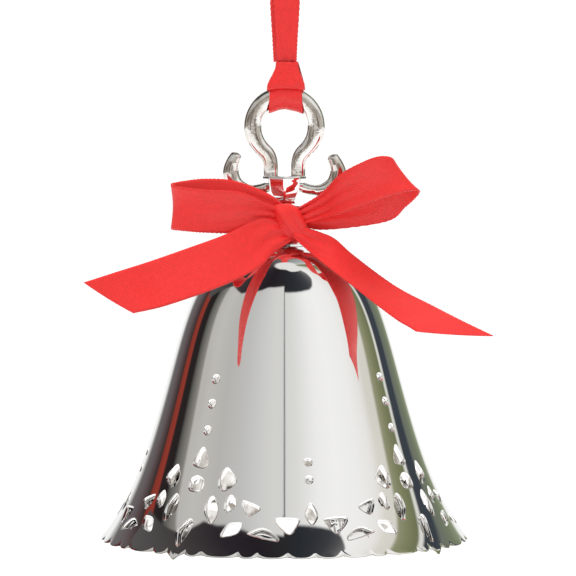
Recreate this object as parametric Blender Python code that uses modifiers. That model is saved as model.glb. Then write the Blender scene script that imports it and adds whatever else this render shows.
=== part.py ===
"""Christmas bell ornament: a pierced silver-plated bell on a hanging ribbon, with a red satin bow.

Metres, +Z up. Heights are first counted from the lobes of the bell's rim, and everything is then
lowered by HANG_HEIGHT, so that the origin is the point where the ribbon hangs on its hook.
X runs to the right, Y away from the front.
"""
import math

import bmesh
import bpy
from mathutils import Matrix, Vector

NAME = "christmas_bell_ornament"

# ---------------------------------------------------------------- the bell
RIM_RADIUS = 0.0401              # where the flare ends and the edge turns down
SHELL_HEIGHT = 0.0649            # the rim's lobes to the seat of the crown
WALL = 0.0012
SEAT_RADIUS = 0.0050             # flat top that the crown stands on
WAIST_RADIUS = 0.02605
WAIST_HEIGHT = 0.0340
WAIST_SLOPE = 0.28               # how far the wall flares for each metre that it drops, at the waist
RIM_SLOPE = 0.85                 # the same at the rim
EDGE_SLOPE = 0.15                # the same below the flare
DOME_FULLNESS = 0.01385          # how far the dome runs out level before it turns down
SHOULDER_DROP = 0.01605
WAIST_DROP = 0.0095
FLARE_DROP = 0.0085
EDGE_HEIGHT = 0.0010             # where the flare ends
PATTERN_TURN = 9.5               # degrees from the front to the middle of a quarter

TIP_DROP = 0.0017                # the four tips below the lobes
TIP_HALF_ANGLE = 0.8             # degrees, half the tips' blunt end
NOTCH_LIFT = 0.0010              # the notches above the lobes
NOTCHES = (0.0, 8.5, 18.0, 23.75, 36.1, 41.6)   # degrees from a quarter's middle
EVEN_BAND = 0.0045               # above this height the shell's rows are level

# ---------------------------------------------------------------- the crown
LOOP_CENTRE = SHELL_HEIGHT + 0.0259
LOOP_MID_RADIUS = 0.00692
LOOP_BAR = 0.0038
LEG_BAR = 0.0031
LEG_SPACING = 0.0060             # between the legs' centres
LOOP_OPEN_ANGLE = 50.0           # degrees below level where the ring turns into its legs

COLLAR_TOP = SHELL_HEIGHT + 0.0151
COLLAR_TOP_RADIUS = 0.0048
COLLAR_BOTTOM = SHELL_HEIGHT + 0.0092
NECK_RADIUS = 0.0023
FOOT_TOP = SHELL_HEIGHT + 0.0027
FOOT_RADIUS = 0.0048
FOOT_EDGE = 0.0007
STEM_BORE_DEPTH = 0.0090

HOOK_BAR = 0.0024
HOOK_ARM_BAR = 0.0034
HOOK_TIP_BAR = 0.0021
HOOK_REACH = 0.0116              # crown centre to the middle of the upright arm
HOOK_BOTTOM = SHELL_HEIGHT + 0.01205
HOOK_TIP = SHELL_HEIGHT + 0.0200
LEFT_HOOK_RISE = 0.0004

# ---------------------------------------------------------------- the bolt and the clapper
BOLT_RADIUS = 0.00125            # M2.5
CLEARANCE = 0.0003               # between pieces that touch on the real one
WASHER_RADIUS = 0.0034
WASHER_THICK = 0.0006
NUT_HALF_WIDTH = 0.0025
NUT_THICK = 0.0020
EYE_WIRE = 0.0008                # wire radii
EYE_RADIUS = 0.0024
EYE_DROP = 0.0045                # nut to the eye's centre
LINK_WIRE = 0.0006
LINK_RADIUS = 0.0026
ROD_WIRE = 0.0006
ROD_EYE_RADIUS = 0.0020
BALL_RADIUS = 0.0055
BALL_HEIGHT = 0.0135
BALL_BORE_DEPTH = 0.0040

# ---------------------------------------------------------------- the ribbons
BOW_THICK = 0.0005
BAND_TOP = SHELL_HEIGHT + 0.0085
BAND_BOTTOM = SHELL_HEIGHT + 0.0033
BAND_THICK = 0.0006
KNOT_SIZE = (0.0100, 0.0056, 0.0080)
KNOT_CENTRE = (0.0022, -0.0071, SHELL_HEIGHT + 0.0045)
RIBBON_LIFT = SHELL_HEIGHT - 0.0649   # the ribbons' edge lines below are drawn for a 64.9 mm shell

HANG_HEIGHT = SHELL_HEIGHT + 0.0751   # the rim's lobes to the hook that the ribbon hangs on
HANGER_WIDTH = 0.0060
HANGER_THICK = 0.0005
HITCH_WIDTH = 0.0079
HITCH_CLEARANCE = 0.0006
HITCH_THICK = 0.0006
HITCH_TOP = SHELL_HEIGHT + 0.0391
HITCH_TOP_WIDTH = 0.0040
HITCH_GAP = 0.0007               # hitch to the point that it sways about
HANGER_KNOT_SIZE = (0.0078, 0.0056, 0.0064)
SWING_DROP = 0.0003              # the bell's swing axis below the middle of the loop's top bar


# ---------------------------------------------------------------- collections and materials
def clear_scene():
    for old in list(bpy.data.objects):
        bpy.data.objects.remove(old, do_unlink=True)


def collection(name):
    made = bpy.data.collections.new(name)
    bpy.context.scene.collection.children.link(made)
    return made


def material(name, colour, metallic, roughness):
    made = bpy.data.materials.new(name)
    made.use_nodes = True
    shader = made.node_tree.nodes["Principled BSDF"]
    shader.inputs["Base Color"].default_value = (*colour, 1.0)
    shader.inputs["Metallic"].default_value = metallic
    shader.inputs["Roughness"].default_value = roughness
    return made


def new_object(name, bm, finish, place=(0.0, 0.0, 0.0), owner=None):
    """Makes an object of a mesh whose points are counted from the rim's lobes."""
    origin = Vector(place)
    bmesh.ops.recalc_face_normals(bm, faces=bm.faces)
    bmesh.ops.translate(bm, verts=bm.verts, vec=-origin)
    mesh = bpy.data.meshes.new(name)
    bm.to_mesh(mesh)
    bm.free()
    made = bpy.data.objects.new(name, mesh)
    made.location = origin - Vector((0.0, 0.0, HANG_HEIGHT))
    if finish is not None:
        mesh.materials.append(finish)
    (owner or PART).objects.link(made)
    return made


def cutter(name, bm):
    made = new_object(name, bm, None, owner=CUTTERS)
    made.hide_render = True
    made.display_type = "WIRE"
    return made


def combine(target, tool, operation):
    change = target.modifiers.new(operation.title(), "BOOLEAN")
    change.operation = operation
    change.solver = "EXACT"
    change.object = tool


def solidify(target, thickness, offset):
    change = target.modifiers.new("Thickness", "SOLIDIFY")
    change.thickness = thickness
    change.offset = offset
    change.use_even_offset = True


# ---------------------------------------------------------------- shapes
def bezier(a, b, c, d, t):
    """A point of a cubic curve from a to d, with handles b and c."""
    s = 1.0 - t
    return a * s**3 + b * 3 * s * s * t + c * 3 * s * t * t + d * t**3


def smooth_point(points, t, closed=False):
    """A point on the smooth curve through the given points, for t from 0 to 1."""
    last = len(points) if closed else len(points) - 1
    place = min(max(t, 0.0), 1.0) * last
    start = min(int(place), last - 1)
    f = place - start

    def at(k):
        return points[k % len(points)] if closed else points[min(max(k, 0), last)]

    before, a, b, after = at(start - 1), at(start), at(start + 1), at(start + 2)
    return (a * 2 + (b - before) * f + (before * 2 - a * 5 + b * 4 - after) * f**2
            + (a * 3 - before - b * 3 + after) * f**3) * 0.5


def mapped_grid(columns, rows, place, close_columns=False, close_rows=False, cap=False):
    """Bends a flat grid into a shape: place(u, v) gives each point, for u and v from 0 to 1."""
    bm = bmesh.new()
    bmesh.ops.create_grid(bm, x_segments=columns, y_segments=rows, size=1.0)
    for vert in bm.verts:
        u = round((vert.co.x + 1.0) / 2.0 * columns) / columns
        v = round((vert.co.y + 1.0) / 2.0 * rows) / rows
        vert.co = place(u, v)
    if close_columns or close_rows:
        bmesh.ops.remove_doubles(bm, verts=bm.verts, dist=1e-6)
    if cap:
        ends = [edge for edge in bm.edges if edge.is_boundary]
        bmesh.ops.holes_fill(bm, edges=ends)
    return bm


def cylinder(radius, bottom, top, sides):
    bm = bmesh.new()
    bmesh.ops.create_cone(bm, cap_ends=True, segments=sides, radius1=radius, radius2=radius,
                          depth=top - bottom)
    bmesh.ops.translate(bm, verts=bm.verts, vec=(0.0, 0.0, (top + bottom) / 2))
    return bm


def turned_ring(name, inner, outer, bottom, top, sides, finish):
    """A flat ring: a square section, drawn down its outer side, turned about the bell's axis."""
    bm = bmesh.new()
    section = [bm.verts.new((radius, 0.0, height)) for radius, height in
               ((inner, top), (outer, top), (outer, bottom), (inner, bottom))]
    for k, vert in enumerate(section):
        bm.edges.new((vert, section[(k + 1) % 4]))
    made = new_object(name, bm, finish, SWING_AXIS)
    turn = made.modifiers.new("Turn", "SCREW")
    turn.axis = "Z"
    turn.angle = 2 * math.pi
    turn.steps = sides
    turn.render_steps = sides
    turn.use_merge_vertices = True
    turn.merge_threshold = 0.00001
    return made


def bent_bar(name, points, widths, finish, place, resolution=4):
    """A round bar along the points, as a curve whose thickness follows the widths."""
    origin = Vector(place)
    curve = bpy.data.curves.new(name, "CURVE")
    curve.dimensions = "3D"
    curve.bevel_depth = 0.001
    curve.bevel_resolution = resolution
    curve.use_fill_caps = True
    spline = curve.splines.new("POLY")
    spline.points.add(len(points) - 1)
    for spot, point, width in zip(spline.points, points, widths):
        spot.co = (*(point - origin), 1.0)
        spot.radius = width / 2 / curve.bevel_depth
    curve.materials.append(finish)
    made = bpy.data.objects.new(name, curve)
    made.location = origin - Vector((0.0, 0.0, HANG_HEIGHT))
    PART.objects.link(made)
    return made


def wire_ring(name, centre, radius, wire, axis, finish, place, owner=None):
    """A ring of round wire whose axis runs along X or Y."""
    bpy.ops.mesh.primitive_torus_add(major_radius=radius, minor_radius=wire, major_segments=28,
                                     minor_segments=10)
    ring = bpy.context.object
    ring.name = name
    origin = Vector(place)
    turn = Matrix.Rotation(math.pi / 2, 4, "X" if axis == "Y" else "Y")
    ring.data.transform(Matrix.Translation(Vector(centre) - origin) @ turn)
    ring.location = origin - Vector((0.0, 0.0, HANG_HEIGHT))
    for old in list(ring.users_collection):
        old.objects.unlink(ring)
    (owner or PART).objects.link(ring)
    if owner is None:
        ring.data.materials.append(finish)
    else:
        ring.hide_render = True
        ring.display_type = "WIRE"
    return ring


def pillow(name, size, centre, place):
    """A soft block: a coarse cage rounded by subdivision."""
    bm = bmesh.new()
    bmesh.ops.create_cube(bm, size=1.0)
    bmesh.ops.subdivide_edges(bm, edges=bm.edges, cuts=1, use_grid_fill=True)
    bmesh.ops.scale(bm, verts=bm.verts, vec=size)
    bmesh.ops.translate(bm, verts=bm.verts, vec=centre)
    made = new_object(name, bm, RED, place)
    soft = made.modifiers.new("Soft", "SUBSURF")
    soft.levels = 2
    soft.render_levels = 2
    return made


# ---------------------------------------------------------------- the bell shell
def shell_profile(t):
    """Outer surface as (radius, height): 0 at the seat's edge, 1 at the waist, 2 at the rim, and
    on down the edge."""
    seat = Vector((SEAT_RADIUS, SHELL_HEIGHT))
    waist = Vector((WAIST_RADIUS, WAIST_HEIGHT))
    rim = Vector((RIM_RADIUS, EDGE_HEIGHT))
    if t > 2.0:
        return rim + Vector((EDGE_SLOPE, -1.0)) * (t - 2.0) * 0.01
    if t <= 1.0:
        top_handle = seat + Vector((DOME_FULLNESS, 0.0))
        low_handle = waist + Vector((-WAIST_SLOPE, 1.0)) * SHOULDER_DROP
        return bezier(seat, top_handle, low_handle, waist, t)
    top_handle = waist + Vector((WAIST_SLOPE, -1.0)) * WAIST_DROP
    low_handle = rim + Vector((-RIM_SLOPE, 1.0)) * FLARE_DROP
    return bezier(waist, top_handle, low_handle, rim, t - 1.0)


def profile_at_height(height):
    """The profile's position that lies at a height below the seat."""
    low, high = 0.0, 2.5
    for _ in range(40):
        middle = (low + high) / 2
        if shell_profile(middle).y > height:
            low = middle
        else:
            high = middle
    return low


def rim_line(angle):
    """Height of the rim's edge at an angle from a quarter's middle, in degrees."""
    off = abs((angle + 45.0) % 90.0 - 45.0)
    if off >= NOTCHES[-1]:
        run = 45.0 - TIP_HALF_ANGLE
        share = max(run - off, 0.0) / (run - NOTCHES[-1])
        return (NOTCH_LIFT + TIP_DROP) * share ** 0.8 - TIP_DROP
    for a, b in zip(NOTCHES, NOTCHES[1:]):
        if off <= b:
            return NOTCH_LIFT * abs((off - a) / (b - a) * 2 - 1) ** 2.4
    return NOTCH_LIFT


def column_angles():
    """Column angles that meet every notch and the tips' ends, from a quarter's middle."""
    half = []
    for a, b in zip(NOTCHES, NOTCHES[1:]):
        steps = 3 if b - a > 10.0 else 2
        half += [a + (b - a) * k / steps for k in range(steps)]
    half += [NOTCHES[-1], 45.0 - TIP_HALF_ANGLE]
    quarter = half + [90.0 - angle for angle in half[:0:-1]]
    return [angle + 90.0 * k for k in range(4) for angle in quarter] + [360.0]


def surface_point(angle, height):
    """A point on the shell's outside with its normal, its level tangent and its upward tangent."""
    t = profile_at_height(height)
    here = shell_profile(t)
    ahead = (shell_profile(t - 1e-3) - shell_profile(t + 1e-3)).normalized()
    turn = math.radians(angle)
    outward = Vector((math.sin(turn), -math.cos(turn), 0.0))
    level = Vector((math.cos(turn), math.sin(turn), 0.0))
    upward = outward * ahead.x + Vector((0.0, 0.0, ahead.y))
    return outward * here.x + Vector((0.0, 0.0, here.y)), level.cross(upward), level, upward


# Openings of half a quarter: degrees from the quarter's middle, height, and an outline in
# millimetres, the first number towards the quarter's middle and the second up the wall.
SIDE_OPENINGS = (
    (32.1, 0.0159, ((-0.3, 3.4), (2.4, 0.4), (2.0, -0.9), (-0.3, -2.4), (-1.8, -1.4), (-2.0, 0.9))),
    (29.4, 0.0112, ((0.0, 2.4), (1.6, 0.8), (1.5, -0.6), (-0.3, -1.9), (-1.2, -1.3), (-1.3, 0.8))),
    (35.8, 0.0101, ((-0.4, 3.2), (1.3, 0.9), (1.5, -1.4), (0.3, -3.8), (-2.0, -0.7), (-1.9, 1.9))),
    (22.4, 0.0105, ((-1.3, 2.0), (3.1, 0.2), (0.2, -2.1), (-1.5, 0.4))),
    (27.2, 0.0063, ((2.4, 1.6), (1.3, -1.2), (-2.5, -2.1), (-1.3, 1.3))),
    (16.3, 0.0054, ((-3.4, 0.4), (-0.8, 1.6), (1.3, 1.1), (3.2, -0.6), (3.1, -1.9), (-3.3, -0.2))),
    (8.4, 0.0074, ((-2.7, 1.6), (2.7, 1.4), (2.2, -0.3), (0.4, -2.7), (-2.5, 0.0))),
)
# Openings on the lines through the tips, and on the quarters' middle lines.
TIP_OPENINGS = (
    (0.0199, ((-0.2, 3.5), (2.2, -0.8), (0.5, -1.9), (-2.5, -0.9))),
    (0.0149, ((-2.2, 1.0), (-0.3, 2.2), (1.9, 1.2), (2.1, -1.2), (0.4, -1.8), (-1.8, -1.4))),
    (0.0053, ((0.7, 3.3), (2.2, 2.0), (0.2, -4.0), (-1.2, -1.9), (-1.8, 0.7))),
)
MIDDLE_OPENINGS = ((0.0094, ((0.0, 3.0), (1.6, -0.2), (0.0, -2.8), (-1.7, -0.1))),)
TIP_DOTS = (0.0370, 0.0318, 0.0262)
TIP_DOT_RADIUS = 0.00110
MIDDLE_DOTS = (0.0200, 0.0164)
MIDDLE_DOT_RADIUS = 0.00100


def all_openings():
    """Every opening as (angle, height, outline); an outline is a function of t from 0 to 1."""
    def drawn(points, flip):
        corners = [Vector((x * flip, y)) / 1000.0 for x, y in points]
        return lambda t: smooth_point(corners, t, closed=True)

    def dot(radius):
        return lambda t: Vector((math.cos(2 * math.pi * t), math.sin(2 * math.pi * t))) * radius

    found = []
    for quarter in range(4):
        middle = PATTERN_TURN + 90.0 * quarter
        for off, height, points in SIDE_OPENINGS:
            found.append((middle - off, height, drawn(points, 1.0), 10))
            found.append((middle + off, height, drawn(points, -1.0), 10))
        for height, points in TIP_OPENINGS:
            found.append((middle + 45.0, height, drawn(points, 1.0), 10))
        for height, points in MIDDLE_OPENINGS:
            found.append((middle, height, drawn(points, 1.0), 8))
        found += [(middle + 45.0, height, dot(TIP_DOT_RADIUS), 8) for height in TIP_DOTS]
        found += [(middle, height, dot(MIDDLE_DOT_RADIUS), 8) for height in MIDDLE_DOTS]
    return found


def opening_cutters():
    bm = bmesh.new()
    for angle, height, outline, points in all_openings():
        centre, normal, level, upward = surface_point(angle, height)
        ring = []
        for k in range(points):
            flat = outline(k / points)
            ring.append(bm.verts.new(centre + level * flat.x + upward * flat.y + normal * 0.002))
        face = bm.faces.new(ring)
        pushed = bmesh.ops.extrude_face_region(bm, geom=[face])["geom"]
        moved = [item for item in pushed if isinstance(item, bmesh.types.BMVert)]
        bmesh.ops.translate(bm, verts=moved, vec=normal * -(WALL + 0.004))
    return cutter("opening_cutters", bm)


def bell_shell():
    angles = column_angles()
    columns = len(angles) - 1
    dome = (0.2, 0.4, 0.6, 0.8, 1.0)
    flare = (1.34, 1.62)
    level_rows = [shell_profile(t).y for t in (*dome, *flare)] + [EVEN_BAND]
    rows = len(level_rows) + 2
    bore = BOLT_RADIUS + CLEARANCE

    def place(u, v):
        angle = angles[round(u * columns)]
        row = round(v * rows)
        if row == 0:
            radius, height = bore, SHELL_HEIGHT
        elif row == 1:
            radius, height = SEAT_RADIUS, SHELL_HEIGHT
        else:
            height = rim_line(angle) if row == rows else level_rows[row - 2]
            radius = shell_profile(profile_at_height(height)).x
        turn = math.radians(angle + PATTERN_TURN)
        return Vector((radius * math.sin(turn), -radius * math.cos(turn), height))

    surface = mapped_grid(columns, rows, place, close_columns=True)
    shell = new_object("bell_shell", surface, SILVER, SWING_AXIS)
    solidify(shell, WALL, -1.0)
    combine(shell, opening_cutters(), "DIFFERENCE")
    return shell


# ---------------------------------------------------------------- the crown
def crown_stem():
    """Foot, neck and eight-sided collar, bored from below for the bolt."""
    base = SHELL_HEIGHT + CLEARANCE
    collar = ((NECK_RADIUS, COLLAR_BOTTOM), (COLLAR_TOP_RADIUS, COLLAR_TOP - 0.0006),
              (COLLAR_TOP_RADIUS - 0.0004, COLLAR_TOP))
    outline = ((FOOT_RADIUS, base), (FOOT_RADIUS, base + FOOT_EDGE),
               (FOOT_RADIUS - 0.0014, base + FOOT_EDGE + 0.0004), (NECK_RADIUS, FOOT_TOP), *collar)
    flat_rows = (5, 6)

    def place(u, v):
        row = round(v * (len(outline) - 1))
        radius, height = outline[row]
        angle = 2 * math.pi * u
        if row in flat_rows and round(u * 16) % 2:
            radius *= math.cos(math.pi / 8)
        return Vector((radius * math.sin(angle), -radius * math.cos(angle), height))

    stem = new_object("crown_stem", mapped_grid(16, len(outline) - 1, place, close_columns=True,
                                                cap=True), SILVER, SWING_AXIS)
    bore = BOLT_RADIUS + CLEARANCE
    hole = cylinder(bore, base - 0.001, base + STEM_BORE_DEPTH, 16)
    combine(stem, cutter("stem_bore_cutter", hole), "DIFFERENCE")
    return stem


def loop_path(t):
    """The omega loop's middle line, from the left leg's foot over the top to the right leg's."""
    centre = Vector((0.0, 0.0, LOOP_CENTRE))
    foot = COLLAR_TOP + CLEARANCE
    leg_share = 0.16
    mirror = -1.0
    share = t
    if t > 0.5:
        mirror = 1.0
        share = 1.0 - t
    turn = math.radians(LOOP_OPEN_ANGLE)
    joint = centre + Vector((math.cos(turn), 0.0, -math.sin(turn))) * LOOP_MID_RADIUS
    if share <= leg_share:
        start = Vector((LEG_SPACING / 2, 0.0, foot))
        inward = Vector((math.sin(turn), 0.0, math.cos(turn)))
        here = bezier(start, start + Vector((0.0, 0.0, 0.0020)), joint - inward * 0.0022, joint,
                      share / leg_share)
    else:
        angle = -turn + (turn + math.pi / 2) * (share - leg_share) / (0.5 - leg_share)
        here = centre + Vector((math.cos(angle), 0.0, math.sin(angle))) * LOOP_MID_RADIUS
    return Vector((here.x * mirror, here.y, here.z))


def crown_loop():
    spots = [k / 36 for k in range(37)]
    widths = [LEG_BAR + (LOOP_BAR - LEG_BAR) * min(min(t, 1.0 - t) / 0.3, 1.0) for t in spots]
    return bent_bar("crown_loop", [loop_path(t) for t in spots], widths, SILVER, SWING_AXIS)


def hook(name, side, rise):
    """An upturned hook that leaves the collar's side and curls up to a rounded tip."""
    collar_slope = (COLLAR_TOP_RADIUS - NECK_RADIUS) / (COLLAR_TOP - COLLAR_BOTTOM)
    root_height = HOOK_BOTTOM + 0.0004
    collar_side = NECK_RADIUS + collar_slope * (root_height + HOOK_BAR / 2 - COLLAR_BOTTOM)
    root = collar_side + CLEARANCE
    tip = HOOK_TIP + rise - 0.0002
    route = [Vector((x * side, 0.0, z)) for x, z in (
        (root, root_height), (root + 0.0018, HOOK_BOTTOM + 0.0001),
        (HOOK_REACH - 0.0030, HOOK_BOTTOM), (HOOK_REACH - 0.0008, HOOK_BOTTOM + 0.0014),
        (HOOK_REACH, HOOK_BOTTOM + 0.0038), (HOOK_REACH - 0.0001, tip - 0.0020),
        (HOOK_REACH - 0.0010, tip))]

    def across(t):
        swell = math.sin(math.pi * min(max((t - 0.25) / 0.75, 0.0), 1.0)) ** 0.8
        end = HOOK_BAR + (HOOK_TIP_BAR - HOOK_BAR) * t
        rounding = min((1.0 - t) / 0.08, 1.0)
        size = end + (HOOK_ARM_BAR - HOOK_BAR) * swell
        return size * (0.45 + 0.55 * math.sqrt(1 - (1 - rounding) ** 2))

    spots = [k / 24 for k in range(25)]
    return bent_bar(name, [smooth_point(route, t) for t in spots], [across(t) for t in spots],
                    SILVER, SWING_AXIS, 3)


# ---------------------------------------------------------------- the bolt and the clapper
def hardware_heights():
    """Heights of the washer, nut and eye under the dome, and of the two hinges below them."""
    washer_top = SHELL_HEIGHT - WALL - CLEARANCE
    washer_bottom = washer_top - WASHER_THICK
    nut_top = washer_bottom - CLEARANCE
    nut_bottom = nut_top - NUT_THICK
    eye = nut_bottom - EYE_DROP
    link_hinge = eye - EYE_RADIUS
    link_centre = link_hinge + EYE_WIRE + CLEARANCE + LINK_WIRE - LINK_RADIUS
    clapper_hinge = link_centre - LINK_RADIUS
    rod_eye = clapper_hinge + LINK_WIRE + CLEARANCE + ROD_WIRE - ROD_EYE_RADIUS
    return {"washer": (washer_bottom, washer_top), "nut": (nut_bottom, nut_top), "eye": eye,
            "link_hinge": link_hinge, "link": link_centre, "clapper_hinge": clapper_hinge,
            "rod_eye": rod_eye}


def eye_bolt():
    heights = hardware_heights()
    top = SHELL_HEIGHT + STEM_BORE_DEPTH - CLEARANCE
    shank_end = heights["eye"] + EYE_RADIUS
    bolt = new_object("eye_bolt", cylinder(BOLT_RADIUS, shank_end, top, 16), STEEL, SWING_AXIS)
    ring = wire_ring("eye_of_bolt", (0.0, 0.0, heights["eye"]), EYE_RADIUS, EYE_WIRE, "Y", None,
                     SWING_AXIS, CUTTERS)
    combine(bolt, ring, "UNION")


def clamp_pieces():
    heights = hardware_heights()
    bore = BOLT_RADIUS + CLEARANCE
    low, high = heights["washer"]
    turned_ring("eye_washer", bore, WASHER_RADIUS, low, high, 24, STEEL)
    low, high = heights["nut"]
    corner = NUT_HALF_WIDTH / math.cos(math.pi / 6)
    nut = new_object("lock_nut", cylinder(corner, low, high, 6), STEEL, SWING_AXIS)
    hole = cylinder(bore, low - NUT_THICK, high + NUT_THICK, 16)
    combine(nut, cutter("nut_bore_cutter", hole), "DIFFERENCE")


def clapper():
    heights = hardware_heights()
    link_hinge = (0.0, 0.0, heights["link_hinge"])
    wire_ring("clapper_link", (0.0, 0.0, heights["link"]), LINK_RADIUS, LINK_WIRE, "X", STEEL,
              link_hinge)

    hinge = (0.0, 0.0, heights["clapper_hinge"])
    rod_top = heights["rod_eye"] - ROD_EYE_RADIUS
    rod_end = BALL_HEIGHT + BALL_RADIUS - BALL_BORE_DEPTH + CLEARANCE
    rod = new_object("clapper_rod", cylinder(ROD_WIRE, rod_end, rod_top, 12), STEEL, hinge)
    ring = wire_ring("eye_of_rod", (0.0, 0.0, heights["rod_eye"]), ROD_EYE_RADIUS, ROD_WIRE, "Y",
                     None, hinge, CUTTERS)
    combine(rod, ring, "UNION")

    bm = bmesh.new()
    bmesh.ops.create_uvsphere(bm, u_segments=24, v_segments=14, radius=BALL_RADIUS)
    bmesh.ops.translate(bm, verts=bm.verts, vec=(0.0, 0.0, BALL_HEIGHT))
    ball = new_object("clapper_ball", bm, STEEL, hinge)
    bore = ROD_WIRE + CLEARANCE
    hole = cylinder(bore, rod_end - CLEARANCE, BALL_HEIGHT + BALL_RADIUS + 0.001, 12)
    combine(ball, cutter("ball_bore_cutter", hole), "DIFFERENCE")


# ---------------------------------------------------------------- ribbons
def strip(name, upper, lower, finish, thickness, along=20, across=2, origin=None):
    """A ribbon between two edge lines, given as points in millimetres."""
    lift = Vector((0.0, 0.0, RIBBON_LIFT))
    top = [Vector(point) / 1000.0 + lift for point in upper]
    low = [Vector(point) / 1000.0 + lift for point in lower]

    def place(u, v):
        return smooth_point(low, v).lerp(smooth_point(top, v), u)

    made = new_object(name, mapped_grid(across, along, place), finish, origin or SWING_AXIS)
    solidify(made, thickness, 0.0)
    return made


def bow_neck_band():
    """The ribbon's turn round the neck, gathered between the collar and the foot."""
    inner = NECK_RADIUS + CLEARANCE + 0.0001
    turned_ring("bow_neck_band", inner, inner + BAND_THICK, BAND_BOTTOM, BAND_TOP, 24, RED)


def bow_loops():
    strip("bow_left_loop",
          ((-3.4, -9.6, 74.0), (-9.5, -14.0, 76.9), (-17.0, -17.0, 77.4), (-21.8, -17.5, 78.0),
           (-24.2, -14.5, 78.6), (-22.2, -10.8, 79.1), (-17.2, -8.0, 79.6), (-10.7, -6.6, 79.1),
           (-3.6, -5.6, 76.4)),
          ((-3.4, -9.8, 69.6), (-10.4, -14.0, 68.1), (-17.0, -17.0, 68.2), (-21.8, -17.5, 68.6),
           (-24.2, -14.5, 68.9), (-22.2, -10.8, 69.4), (-17.4, -8.0, 70.0), (-10.7, -6.6, 70.2),
           (-3.6, -5.6, 71.0)),
          RED, BOW_THICK, along=28)
    strip("bow_right_loop",
          ((7.8, -9.6, 76.4), (11.8, -13.4, 80.6), (16.8, -16.4, 83.4), (20.2, -17.0, 84.6),
           (22.9, -14.6, 84.2), (23.6, -11.2, 82.4), (21.2, -8.4, 79.7), (16.6, -6.6, 76.9),
           (8.0, -5.6, 74.6)),
          ((7.9, -9.6, 70.9), (12.6, -13.4, 72.4), (18.2, -16.4, 74.6), (23.6, -17.0, 76.4),
           (28.3, -14.6, 77.2), (28.9, -11.2, 76.2), (26.2, -8.4, 73.4), (22.0, -6.6, 70.2),
           (8.4, -5.6, 68.4)),
          RED, BOW_THICK, along=28)


def bow_tails():
    strip("bow_left_tail",
          ((-3.6, -10.6, 71.0), (-7.4, -13.0, 70.3), (-12.7, -18.0, 67.9), (-20.1, -24.0, 65.4),
           (-28.4, -31.0, 62.7), (-34.8, -38.0, 60.9), (-41.5, -46.0, 59.0)),
          ((-3.4, -12.0, 65.6), (-5.2, -17.0, 62.6), (-9.9, -22.0, 58.9), (-16.8, -28.0, 56.0),
           (-24.5, -35.0, 53.7), (-28.4, -39.0, 52.9), (-31.4, -41.0, 52.3)),
          RED, BOW_THICK)
    strip("bow_right_tail",
          ((8.0, -8.4, 67.8), (10.9, -8.6, 66.4), (14.2, -9.0, 63.4), (18.9, -9.6, 59.8),
           (24.9, -11.6, 55.8), (31.3, -15.0, 52.6), (37.5, -20.0, 49.6), (44.5, -24.0, 46.4)),
          ((6.4, -12.4, 62.8), (9.8, -14.6, 60.3), (12.6, -16.0, 58.2), (15.3, -17.0, 56.1),
           (19.4, -19.0, 53.0), (24.0, -21.0, 49.7), (26.6, -22.2, 48.2), (28.1, -23.0, 47.3)),
          RED, BOW_THICK)


def hanger_hitch():
    """The hitch: a turn round the loop's top bar, and the crossing band above it."""
    inner = LOOP_BAR / 2 + HITCH_CLEARANCE
    reach = math.asin(HITCH_WIDTH / 2 / LOOP_MID_RADIUS)

    def wrap(u, v):
        turn = reach * (2 * v - 1)
        roll = 2 * math.pi * u
        radius = LOOP_MID_RADIUS + inner * math.cos(roll)
        return Vector((radius * math.sin(turn), inner * math.sin(roll),
                       LOOP_CENTRE + radius * math.cos(turn)))

    hitch = new_object("hanger_hitch", mapped_grid(16, 4, wrap, close_columns=True), RED,
                       HITCH_AXIS)
    solidify(hitch, HITCH_THICK, 1.0)
    low = LOOP_CENTRE + LOOP_MID_RADIUS + inner + HITCH_THICK * 0.4
    crossing = ((low, HITCH_WIDTH - 0.0016, 0.0036), (low + 0.0014, HITCH_WIDTH - 0.0006, 0.0042),
                (HITCH_TOP - 0.0006, HITCH_TOP_WIDTH, 0.0034),
                (HITCH_TOP, HITCH_TOP_WIDTH * 0.65, 0.0022))

    def band(u, v):
        height, width, depth = crossing[round(v * 3)]
        c, s = math.cos(2 * math.pi * u), math.sin(2 * math.pi * u)
        return Vector((math.copysign(abs(c) ** 0.6, c) * width / 2,
                       math.copysign(abs(s) ** 0.6, s) * depth / 2, height))

    block = mapped_grid(16, 3, band, close_columns=True, cap=True)
    combine(hitch, cutter("hitch_band", block), "UNION")


# Each strand's route from the hitch to the knot: Y and height, in millimetres.
STRAND_ROUTE = ((-0.9, 104.9), (-0.8, 110.0), (-0.6, 118.0), (-0.5, 126.0), (-0.8, 130.0),
                (-2.6, 132.8), (-3.6, 136.0), (-2.7, 139.1), (-0.6, 140.9))


def hanger_strands():
    """Two strands side by side, which open round the hook and meet again under the knot."""
    for name, side in (("hanger_front_strand", 1.0), ("hanger_back_strand", -1.0)):
        widths = [min(2.2 + (z - 104.9) * 0.055, HANGER_WIDTH * 500.0) for _, z in STRAND_ROUTE]
        left = [(-w, y * side, z) for w, (y, z) in zip(widths, STRAND_ROUTE)]
        right = [(w, y * side, z) for w, (y, z) in zip(widths, STRAND_ROUTE)]
        strip(name, right, left, RED, HANGER_THICK, along=30, origin=(0.0, 0.0, HANG_HEIGHT))


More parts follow.
